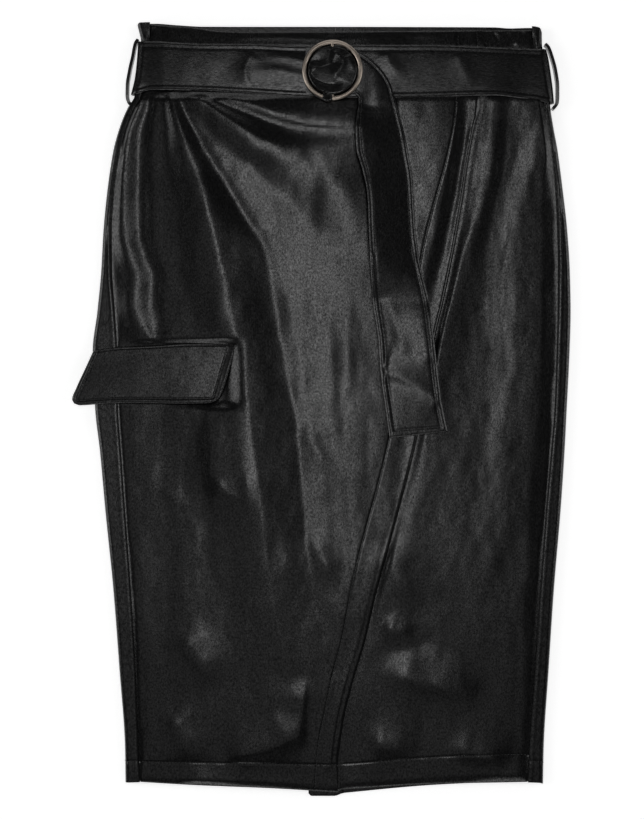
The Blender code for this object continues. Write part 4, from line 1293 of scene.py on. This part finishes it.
@dataclass
class PocketFlap:
    """The padded flap over the right side seam, sewn down along its top edge."""

    form: SkirtForm
    wide: float = 142.0
    tall: float = 55.0
    thick: float = 2.2
    stand_off: float = 2.6
    stitch_in: float = 4.6
    band_in: float = 8.6
    columns: int = 96
    rows: int = 52
    flat: tuple[float, float] = (0.162, 0.062)
    side: Points = ((0, -219.4), (0.35, -227.5), (0.7, -235.5), (0.92, -239.5), (1, -237.6))
    top: Points = ((-219.4, 57.1), (-197, 60.5), (-165, 61.9), (-126, 63.8), (-81.1, 63.8))
    bottom: Points = (
        (-237.6, 6.2), (-232, 4.4), (-217, 5.3), (-184, 6.6), (-136, 5.8), (-110, 6.3), (-103, 8.2),
        (-98.5, 10.5))
    front: Points = ((0, -81.1), (0.35, -86.5), (0.75, -92.8), (0.93, -96), (1, -98.5))

    def plan(self, u: Array, v: Array) -> tuple[Array, Array]:
        """Return the flap's X and Y; u runs across it and v up it."""
        side, front = through(self.side)(1 - v), through(self.front)(1 - v)
        low, high = (through(line)(line[0][0] + u * (line[-1][0] - line[0][0]))
                     for line in (self.bottom, self.top))
        return side + u * (front - side), low + v * (high - low)

    def under(self, u: Array, v: Array) -> Array:
        """Return the height of the flap's back."""
        form = self.form
        x, y = self.plan(u, v)
        inside = np.maximum(x, form.right_seam(y) + 4.0)
        rest = form.front_height(y) + form.wall + form.over_lift(inside, y) + 0.35 * form.drape(inside, y)
        return rest + 0.9 + self.stand_off * ease(1 - v, 0.1, 1.0)

    def surface(self, u: Array, v: Array) -> Array:
        """Return places on the flap's face, with its rolled edges and sewn channels."""
        x, y = self.plan(u, v)
        left, right, low, high = u * self.wide, (1 - u) * self.wide, v * self.tall, (1 - v) * self.tall
        rim = np.minimum(np.minimum(left, right), low)
        channel = np.minimum(np.minimum(left, low), right - (self.band_in - self.stitch_in))
        groove = -0.4 * bell(channel - self.stitch_in, 0.9) * ease(high, 0.5, 3.0)
        padding = 0.2 * bell(rim - 2.4, 1.6)
        crown = 1.0 * np.sin(math.pi * np.clip(u, 0, 1)) * np.sin(math.pi * np.clip(0.1 + 0.8 * v, 0, 1))
        soft = 0.12 * swells(x, y, (26.0, 18.0), 31) + 0.05 * swells(x, y, (9.0, 7.0), 32)
        sewn = -0.9 * bell(high, 2.0) + 0.3 * bell(high - 4.0, 2.2)
        roll = rounded(np.minimum(rim, high), 2.0, 1.3)
        return places(x, y, self.under(u, v) + self.thick + groove + padding + crown + soft + sewn + roll)

    def build(self, finishes: Wardrobe) -> bpy.types.Object:
        """Build the flap and hide the CAD node that it replaces.

        Args:
            finishes: The finishes.

        Returns:
            The flap.
        """
        u, v = grid_of(self.columns, self.rows)
        u, v = crowded(u, (0.0, 0.035, 0.94, 1.0), 0.02), crowded(v, (0.0, 0.085, 1.0), 0.03)
        outer = self.surface(u, v)
        edge = np.minimum(edge_of(u, self.wide), edge_of(v, self.tall))
        inner = places(*self.plan(u, v), self.under(u, v) - rounded(edge, 1.4, 0.5))
        inner[..., 2] = np.minimum(inner[..., 2], outer[..., 2] - 0.15)
        piece = shell("pocket_flap_cloth", outer, inner, finishes.lengthwise)
        return declare(piece, "pocket_flap", self.flat, "laid", ["front_over", "back_right"])

    def seams(self) -> list[Array]:
        """Return the topstitching down one side, along the bottom and up the other."""
        side, low, band = self.stitch_in / self.wide, self.stitch_in / self.tall, self.band_in / self.wide
        down, run = np.linspace(0.97, low, 60), np.linspace(side, 1 - band, 140)
        return [seam_path(self.scaled, self.wide * across, self.tall * up)
                for across, up in ((side, down), (run, low), (1 - band, down))]

    def scaled(self, across: Array, up: Array) -> Array:
        """Return places on the face for distances across and up it."""
        return self.surface(across / self.wide, up / self.tall)


@dataclass
class BeltBand:
    """The belt's run round the waist, from under its tail round the back to the ring."""

    form: SkirtForm
    front_cells: int = 96
    turn_cells: int = 14
    back_cells: int = 60
    rows: int = 26
    tall: float = 46.0
    stitch_in: float = 4.9
    flat: tuple[float, float] = (0.815, 0.054)
    start: float = 12.0
    stop: float = -15.6
    end_top: float = 13.0
    upper: Points = (
        (-178, 353.6), (-117, 350.9), (-72.5, 350.9), (-20.6, 349), (43.7, 349.9), (108, 349.9), (171, 347.6),
        (215, 346.4))
    lower: Points = (
        (-184, 303), (-170, 306.8), (-117, 305.8), (-72.5, 303.4), (-11, 300), (71, 299), (171, 301.4),
        (190, 299.8), (215, 296.4), (222, 294.6))
    right_end: Points = ((303, -183.9), (320, -180), (338, -178), (354, -176.9))
    left_end: Points = ((295, 223.2), (307, 222.2), (322, 220.3), (339, 217.6), (348, 215.2))
    creases: tuple[Crease, ...] = (
        Crease(((-66, 342), (-74, 325), (-71, 308)), 0.8, 5, 4, 1.5, 0.1, 0.3),
        Crease(((-6, 316), (-50, 325), (-98, 322)), 1.0, 6, 5, 2.0, 0.02, 0.7),
        Crease(((-6, 331), (-42, 338), (-70, 336)), 0.8, 4, 4, 1.5, 0.02, 0.7),
        Crease(((60, 344), (66, 330), (84, 318)), 0.6, 5, 6, 2.0, 0.1, 0.5),
        Crease(((128, 343), (137, 325), (142, 306)), 0.5, 7, 7, 2.0),
    )

    def __post_init__(self) -> None:
        """Turn the tables into curves."""
        self.low, self.high = through(self.lower), through(self.upper)
        self.at_right, self.at_left = through(self.right_end), through(self.left_end)
        self.radius = self.end_top / 2
        self.columns = 2 * (self.front_cells + self.turn_cells) + self.back_cells

    def middle(self, step: Array, v: Array) -> tuple[Array, Array, Array, Array]:
        """Return X, Y, height and facing (1 up, -1 down) of the strap's outer face.

        Args:
            step: How many cells along the strap.
            v: How far up the strap, from 0 to 1.

        Returns:
            The four, without padding or seams.
        """
        cells = (self.front_cells, self.turn_cells, self.back_cells, self.turn_cells, self.front_cells)
        left_run, left_turn, back_run, right_turn, right_run = (
            np.clip((step - sum(cells[:k])) / cells[k], 0.0, 1.0) for k in range(5))
        left, right = float(self.at_left(300.0)), float(self.at_right(300.0))
        nominal = self.start + left_run * (left - self.start) + back_run * (right - left)
        nominal = nominal + right_run * (self.stop - right)
        y = self.low(nominal) + v * (self.high(nominal) - self.low(nominal))
        straight = self.low(left) + v * (self.high(left) - self.low(left))
        straight = straight + back_run * (self.low(right) - self.low(left))
        y = np.where((back_run > 0) & (back_run < 1), straight, y)
        left_x, right_x = self.at_left(y) - self.radius, self.at_right(y) + self.radius
        x = self.start + left_run * (left_x - self.start)
        x = np.where(left_turn > 0, left_x + self.radius * np.sin(math.pi * left_turn), x)
        x = np.where(back_run > 0, left_x + back_run * (right_x - left_x), x)
        x = np.where(right_turn > 0, right_x - self.radius * np.sin(math.pi * right_turn), x)
        x = np.where(right_run > 0, right_x + right_run * (self.stop - right_x), x)
        top = self.end_top + self.form.over_rise * ease(x, -172.0, -150.0) * ease(x, 200.0, 158.0)
        turned = np.cos(math.pi * (left_turn - right_turn))
        on_front = (left_turn == 0) | (right_turn == 1)
        return x, y, np.where(on_front, top, self.radius * (1 + turned)), np.where(on_front, 1.0, turned)

    def roll(self, v: Array) -> Array:
        """Return how far the strap's face rolls down at its two edges."""
        return rounded(edge_of(v, self.tall), 1.7, 0.9)

    def relief(self, x: Array, y: Array, v: Array) -> Array:
        """Return how the padded strap stands proud or dips: rolled edges, channels, soft creases."""
        edge = edge_of(v, self.tall)
        groove = -0.3 * bell(edge - self.stitch_in, 0.8)
        padding = 0.12 * bell(edge - 2.3, 1.8)
        crown = 0.35 * np.sin(math.pi * np.clip(v, 0, 1))
        soft = 0.28 * swells(x, y, (40.0, 30.0), 41) + 0.05 * swells(x, y, (12.0, 9.0), 42)
        return self.roll(v) + groove + padding + crown + soft + creased(self.creases, x, y)

    def surface(self, step: Array, v: Array) -> Array:
        """Return places on the strap's outer face."""
        x, y, z, facing = self.middle(step, v)
        proud = np.where(facing > 0.99, self.relief(x, y, v), self.roll(v))
        return places(x, y, z + proud * facing)

    def build(self, finishes: Wardrobe) -> bpy.types.Object:
        """Build the strap and hide the CAD node that it replaces.

        Args:
            finishes: The finishes.

        Returns:
            The strap.
        """
        u, v = grid_of(self.columns, self.rows)
        v = crowded(v, (0.0, 0.107, 0.893, 1.0), 0.03)
        plain = places(*self.middle(u * self.columns, v)[:3])
        normal = outward(plain)
        if normal[5, 5, 2] < 0:
            normal = -normal
        inner = plain - normal * (self.form.strap + self.roll(v))[..., None]
        piece = shell("belt_band_strap", self.surface(u * self.columns, v), inner, finishes.crosswise)
        return declare(piece, "belt_band", self.flat, "laid", ["front_over", "front_under"])

    def seams(self) -> list[Array]:
        """Return the topstitching along both edges of the front runs."""
        runs = []
        for first, last in ((1.0, self.front_cells - 1.0),
                            (self.columns - self.front_cells + 1.0, self.columns - 1.0)):
            along = np.linspace(first, last, 300)
            for up in (self.stitch_in, self.tall - self.stitch_in):
                runs.append(seam_path(lambda a, b: self.surface(a, b / self.tall), along, np.full(300, up)))
        return runs


@dataclass
class BeltTail:
    """The belt's hanging end, turned down from the ring over the wrap front."""

    form: SkirtForm
    columns: int = 190
    rows: int = 30
    stitch_in: float = 4.9
    width: float = 47.0
    length: float = 372.0
    flat: tuple[float, float] = (0.375, 0.058)
    drop: tuple[float, float] = (296.0, 268.0)
    belt_top: float = 14.5
    lean: Points = (
        (-27, 1.6), (5, 1), (35, -0.8), (60, -2.6), (85, -3), (100, -1), (125, 4.5), (150, 7.5), (300, 7.5))
    creases: tuple[Crease, ...] = (
        Crease(((58, 37), (72, 33), (84, 27), (98, 19), (114, 7)), 1.3, 7, 16, 1.5, 0.05, 0.05),
        Crease(((62, 110), (70, 84), (80, 50)), 0.8, 7, 9, 2.5, 0.2, 0.2),
        Crease(((90, 92), (96, 70), (102, 40)), 0.7, 6, 7, 2.5, 0.2, 0.2),
        Crease(((48, 148), (66, 138), (88, 152)), 0.7, 9, 9, 3.0, 0.1, 0.1),
        Crease(((36, 300), (52, 310), (66, 306)), 0.7, 6, 6, 2.0, 0.1, 0.1),
        Crease(((34, 322), (46, 328), (52, 330)), 0.7, 5, 5, 1.5, 0.1, 0.1),
    )
    # Cuts across the strap: X and Y of its inner edge, then of its outer edge
    sections: Points = (
        (31.6, 303, 31.6, 345), (32.5, 300.5, 40, 340.5), (33.6, 299.3, 50, 332.5),
        (34.4, 298.3, 58.5, 323.5), (34.6, 296.5, 65.3, 312.3), (34, 291, 69.5, 299),
        (32.6, 281, 74.5, 281), (32, 268, 79, 264), (32.8, 250, 83, 243), (38.9, 228, 86.5, 222),
        (43.5, 204, 88, 196), (44.8, 169.5, 89.5, 172), (46.6, 135.3, 94.5, 138), (49.2, 101, 102.5, 104),
        (54.2, 66.7, 107, 69), (56.2, 36, 111, 34), (60.5, 5, 115.5, 3), (64.8, -27, 120.5, -20.8),
    )

    def __post_init__(self) -> None:
        """Turn the sections into curves along the strap."""
        spacing = np.linspace(0.0, 1.0, len(self.sections))
        self.edges = [through(zip(spacing, column)) for column in zip(*self.sections)]

    def plan(self, u: Array, v: Array) -> tuple[Array, Array]:
        """Return X and Y; u runs down the strap and v across it."""
        inner_x, inner_y, outer_x, outer_y = (edge(u) for edge in self.edges)
        return inner_x + v * (outer_x - inner_x), inner_y + v * (outer_y - inner_y)

    def under(self, u: Array, v: Array) -> Array:
        """Return the height of the strap's back."""
        form = self.form
        x, y = self.plan(u, v)
        rest = form.front_height(y) + form.wall + form.over_rise + 0.15 * form.drape(x, y) + 1.6
        on_belt = self.belt_top + 1.2 + 3.6 * (1 - v) * ease(x, 34.0, 58.0)
        turn = through(self.lean)(y)
        lean = np.maximum(turn, 0.0) * (1 - v) + np.maximum(-turn, 0.0) * v
        low = rest + creased(self.creases, x, y) + lean * ease(y, 300.0, 284.0)
        return low + (on_belt - low) * ease(y, *self.drop[::-1])

    def edge(self, u: Array, v: Array) -> Array:
        """Return how far in from the nearest edge or from the end a place lies."""
        return np.minimum(edge_of(v, self.width), (1 - u) * self.length)

    def surface(self, u: Array, v: Array) -> Array:
        """Return places on the strap's face, with rolled edges, channels and soft creases."""
        x, y = self.plan(u, v)
        edge = self.edge(u, v)
        groove = -0.35 * bell(edge - self.stitch_in, 0.9)
        padding = 0.12 * bell(edge - 2.3, 1.6)
        crown = 0.15 * np.sin(math.pi * np.clip(v, 0, 1))
        soft = 0.15 * swells(x, y, (18.0, 30.0), 51) + 0.05 * swells(x, y, (7.0, 9.0), 52)
        body = self.under(u, v) + self.form.strap + rounded(edge, 1.7, 1.0)
        return places(x, y, body + groove + padding + crown + soft)

    def build(self, finishes: Wardrobe) -> bpy.types.Object:
        """Build the strap and hide the CAD node that it replaces.

        Args:
            finishes: The finishes.

        Returns:
            The strap.
        """
        u, v = grid_of(self.columns, self.rows)
        u, v = crowded(u, (0.987, 1.0), 0.01), crowded(v, (0.0, 0.105, 0.895, 1.0), 0.03)
        inner = places(*self.plan(u, v), self.under(u, v) - rounded(self.edge(u, v), 1.4, 0.6))
        piece = shell("belt_tail_strap", self.surface(u, v), inner, finishes.lengthwise)
        return declare(piece, "belt_tail", self.flat, "laid", ["front_over", "belt_band"])

    def seams(self) -> list[Array]:
        """Return the topstitching down both edges and across the end."""
        margin, end = self.stitch_in / self.width, 1 - self.stitch_in / self.length
        down, across = np.linspace(0.02, end, 420), np.linspace(margin, 1 - margin, 60)
        return [seam_path(lambda a, b: self.surface(a / self.length, b / self.width),
                          along * self.length, over * self.width)
                for along, over in ((down, margin), (down, 1 - margin), (end, across))]


@dataclass
class BeltKnot:
    """The strap bunched inside the ring, over its bar, with a lobe over its lower arc."""

    thick: float = 1.8
    columns: int = 110
    rows: int = 100
    flat: tuple[float, float] = (0.062, 0.056)
    centre: tuple[float, float] = (9.9, 324.6)
    opening: float = 24.6
    ends: tuple[float, float] = (-18.5, 34.0)
    low: Points = (
        (-18.5, 301.2), (-10, 300.6), (-4, 298.8), (0, 296.4), (4, 294.6), (8, 295), (11, 297), (14, 299.4),
        (20, 301), (34, 303))
    high: Points = ((-18.5, 348.8), (-6, 348), (10, 347.2), (24, 346), (34, 344.4))
    creases: tuple[Crease, ...] = (
        Crease(((7, 341), (15, 339), (20, 332), (17, 325), (12, 319), (10, 311)), 1.5, 8, 4.5, 2, 0.15, 0.25),
        Crease(((-14, 332), (-5, 334), (6, 334)), -1.0, 4.5, 4.0, 1.5, 0.1, 0.5),
        Crease(((-13, 324), (-7, 317), (0, 313), (9, 311), (22, 312)), -1.3, 4.0, 3.5, 1.5, 0.1, 0.3),
        Crease(((24, 340), (28, 331), (31, 322)), 0.6, 4.0, 4.0, 1.5, 0.2, 0.3),
    )

    def surface(self, u: Array, v: Array) -> Array:
        """Return places on the bunched strap's face."""
        x = self.ends[0] + u * (self.ends[1] - self.ends[0])
        low, high = through(self.low)(x), through(self.high)(x)
        y = low + v * (high - low)
        away = np.hypot(x - self.centre[0], y - self.centre[1])
        inside = ease(away, self.opening + 0.8, self.opening - 2.2)
        lobe = bell(x - 5.5, 7.5) * ease(y, 305.5, 301.0) * (8.0 - 0.16 * (y - 296.0))
        fold = creased(self.creases, x, y)
        level = 14.5 + 3.2 * ease(x, 14.0, 30.0)
        by_bar = bell(x - self.centre[0], 5.0) * ease(away, self.opening - 0.3, self.opening - 2.6)
        over_bar = (20.2 - level) * by_bar
        puffed = inside * (20.9 - level + fold - 0.055 * (y - self.centre[1]))
        roll = rounded(np.minimum(y - low, high - y), 1.2, 0.7)
        return places(x, y, level + np.maximum(np.maximum(puffed, over_bar), lobe) + roll)

    def build(self, finishes: Wardrobe) -> bpy.types.Object:
        """Build the bunched strap and hide the CAD node that it replaces.

        Args:
            finishes: The finishes.

        Returns:
            The bunched strap.
        """
        outer = self.surface(*grid_of(self.columns, self.rows))
        inner = outer - np.array([0.0, 0.0, self.thick])
        piece = shell("belt_knot_strap", outer, inner, finishes.crosswise)
        return declare(piece, "belt_knot", self.flat, "gathered", ["belt_ring", "belt_band"])


@dataclass
class RingBuckle:
    """The round buckle: a wire ring, a little flattened, and the bar that crosses it."""

    outer: float = 58.0
    wire: float = 4.4
    bar: float = 2.8
    flattened: float = 0.82
    place: tuple[float, float] = (9.9, 324.6)
    heights: tuple[float, float] = (17.0, 19.6)
    segments: int = 120
    sides: int = 20

    def build(self, finishes: Wardrobe) -> bpy.types.Object:
        """Turn the ring, set in its bar and place it.

        Args:
            finishes: The finishes.

        Returns:
            The buckle.
        """
        across = (self.outer - self.wire) * MM
        upright = Matrix.Rotation(math.pi / 2, 4, "X")
        bm = bmesh.new()
        circle = bmesh.ops.create_circle(bm, cap_ends=False, segments=self.sides, radius=self.wire / 2 * MM,
                                         matrix=Matrix.Translation((across / 2, 0.0, 0.0)) @ upright)
        edges = list({edge for vert in circle["verts"] for edge in vert.link_edges})
        bmesh.ops.spin(bm, geom=circle["verts"] + edges, cent=(0.0, 0.0, 0.0), axis=(0.0, 0.0, 1.0),
                       angle=math.tau, steps=self.segments, use_merge=True)
        bmesh.ops.remove_doubles(bm, verts=bm.verts[:], dist=1e-6)
        bmesh.ops.transform(bm, matrix=Matrix.Diagonal((1.0, 1.0, self.flattened, 1.0)), verts=bm.verts[:])
        bmesh.ops.create_cone(bm, cap_ends=True, segments=24, radius1=self.bar / 2 * MM,
                              radius2=self.bar / 2 * MM, depth=across, matrix=upright)
        bmesh.ops.recalc_face_normals(bm, faces=bm.faces[:])
        tilt = -math.asin((self.heights[1] - self.heights[0]) * MM / across)
        level = (self.heights[0] + self.heights[1]) / 2
        place = Matrix.Translation((self.place[0] * MM, self.place[1] * MM, level * MM))
        bmesh.ops.transform(bm, matrix=place @ Matrix.Rotation(tilt, 4, "Y"), verts=bm.verts[:])
        piece = placed("ring_buckle", mesh_of("ring_buckle", bm), finishes.metal)
        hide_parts("belt_ring")
        return piece


@dataclass
class BeltLoop:
    """A belt loop: a strip on edge round one of the belt's end folds."""

    side: Side
    path: Points
    thick: float = 3.1
    rim: float = 1.5
    heights: tuple[float, float] = (1.8, 11.2)
    columns: int = 60
    rows: int = 12

    def build(self, finishes: Wardrobe) -> bpy.types.Object:
        """Build the loop and hide the CAD node that it replaces.

        Args:
            finishes: The finishes.

        Returns:
            The loop.
        """
        path, side = Path(self.path), self.side.name.lower()
        u, v = grid_of(self.columns, self.rows)
        u, v = crowded(u, (0.0, 1.0), 0.02), crowded(v, (0.0, 0.2, 0.8, 1.0), 0.05)
        x, y = path.x(u * path.length), path.y(u * path.length)
        ahead = np.stack([np.gradient(x, axis=1), np.gradient(y, axis=1)], axis=-1)
        ahead /= np.linalg.norm(ahead, axis=-1, keepdims=True)
        aside_x, aside_y = -ahead[..., 1] * self.side.value, ahead[..., 0] * self.side.value
        low, high = self.heights
        edge = edge_of(v, high - low)
        half = self.thick / 2 + rounded(np.minimum(edge, edge_of(u, path.length)), 0.5, 0.35)
        half = half - 0.15 * bell(edge - 2.0, 0.6)
        z = low + v * (high - low)
        faces = (places(x + out * aside_x * half, y + out * aside_y * half, z - self.rim * v**3 * (out > 0))
                 for out in (1.0, -1.0))
        piece = shell(f"{side}_belt_loop_strip", *faces, finishes.crosswise)
        flat = (round(path.length * MM, 4), 0.0125)
        return declare(piece, f"loop_{side}", flat, "stretched", ["belt_band"])


# Studio


@dataclass
class Studio:
    """Pale floor, soft lights and the camera straight above."""

    camera_height: float = 1.6
    frame_height: float = 0.78624
    focus_level: float = 0.010
    floor_size: float = 24.0
    floor_drop: float = 0.0004
    # Name, place, aim, size and power
    softboxes: tuple[tuple[str, tuple[float, ...], tuple[float, ...], tuple[float, float], float], ...] = (
        ("overhead_softbox", (-0.05, 0.22, 1.95), (-0.05, 0.22, 0.0), (0.28, 1.06), 2.9),
        ("ceiling_panel", (-0.2, -0.2, 2.0), (-0.2, -0.2, 0.0), (1.5, 1.9), 1.9),
        ("right_side_softbox", (-1.95, 0.1, 0.95), (0.0, 0.0, 0.0), (1.2, 1.6), 13.0),
        ("left_side_softbox", (1.95, 0.2, 0.95), (0.0, 0.0, 0.0), (1.2, 1.6), 10.0),
        ("waist_softbox", (0.0, 2.1, 1.1), (0.0, 0.0, 0.0), (1.8, 0.9), 5.0),
        ("hem_softbox", (0.0, -2.1, 1.1), (0.0, 0.0, 0.0), (1.8, 0.9), 8.0),
    )

    def lay_floor(self, finish: bpy.types.Material) -> None:
        """Lay the floor just below the skirt."""
        bm = bmesh.new()
        bmesh.ops.create_grid(bm, x_segments=4, y_segments=4, size=self.floor_size / 2,
                              matrix=Matrix.Translation((0.0, 0.0, -self.floor_drop)))
        mesh = mesh_of("floor", bm)
        mesh.materials.append(finish)
        floor = bpy.data.objects.new("floor", mesh)
        bpy.context.scene.collection.objects.link(floor)

    def hang_lights(self) -> None:
        """Hang the softboxes."""
        for name, place, aim, size, power in self.softboxes:
            lamp = bpy.data.lights.new(name, "AREA")
            lamp.shape = "RECTANGLE"
            lamp.size, lamp.size_y = size
            lamp.energy = power
            light = bpy.data.objects.new(name, lamp)
            light.location = place
            light.rotation_euler = (Vector(aim) - Vector(place)).to_track_quat("-Z", "Y").to_euler()
            bpy.context.scene.collection.objects.link(light)

    def build(self, finishes: Wardrobe) -> None:
        """Lay the floor, hang the lights and set the camera.

        Args:
            finishes: The finishes.
        """
        self.lay_floor(finishes.floor)
        self.hang_lights()
        world = bpy.data.worlds.new("studio")
        world.use_nodes = True
        world.node_tree.nodes["Background"].inputs["Color"].default_value = (1.0, 1.0, 1.0, 1.0)
        world.node_tree.nodes["Background"].inputs["Strength"].default_value = 0.05
        scene = bpy.context.scene
        scene.world = world
        scene.view_settings.view_transform = "Standard"
        scene.view_settings.look = "None"
        scene.view_settings.exposure = 0.0

        lens = bpy.data.cameras.new("overhead_camera")
        lens.sensor_fit = "VERTICAL"
        lens.sensor_height = 24.0
        lens.lens = lens.sensor_height * self.camera_height / self.frame_height
        camera = bpy.data.objects.new("overhead_camera", lens)
        camera.location = (0.0, 0.00048, self.camera_height + self.focus_level)
        scene.collection.objects.link(camera)
        scene.camera = camera


# Assembly

BACK_HEMS: dict[Side, Points] = {
    Side.RIGHT: ((-189.4, -358.2), (-174, -357.8), (13, -362)),
    Side.LEFT: ((13, -370.4), (104, -362.1), (152, -359.7), (197, -358), (209, -358.4), (212.9, -359.6)),
}
LOOP_PATHS: dict[Side, Points] = {
    Side.RIGHT: ((-176.7, 356.1), (-179.2, 352.3), (-182.1, 338.4), (-184.8, 326.4), (-187, 311.8),
                 (-187.2, 302), (-185.7, 295.7), (-182.8, 293.2)),
    Side.LEFT: ((214.5, 351.8), (217.4, 348.6), (221.2, 338.4), (224.4, 326.2), (226.4, 309.6),
                (226.4, 301.6), (225.9, 295.2), (221.6, 289)),
}


def main() -> None:
    """Dress the skirt."""
    logging.basicConfig(level=logging.INFO, format="%(name)s: %(message)s")
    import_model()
    finishes = Wardrobe()
    form = SkirtForm()
    Studio().build(finishes)
    wrap, under = WrapFront(form), UnderFront(form)
    backs = [BackPanel(form, side, hem) for side, hem in BACK_HEMS.items()]
    flap, band, tail = PocketFlap(form), BeltBand(form), BeltTail(form)
    loops = [BeltLoop(side, path) for side, path in LOOP_PATHS.items()]
    for part in (wrap, under, *backs, VentUnderlap(form), flap, band, tail, BeltKnot(), RingBuckle(), *loops):
        part.build(finishes)
    stitched("front_stitching", wrap.seams() + under.seams(), finishes.thread)
    stitched("back_stitching", backs[0].seams() + backs[1].seams(), finishes.thread)
    stitched("flap_stitching", flap.seams(), finishes.thread)
    stitched("belt_stitching", band.seams() + tail.seams(), finishes.thread)


if __name__ == "__main__":
    main()
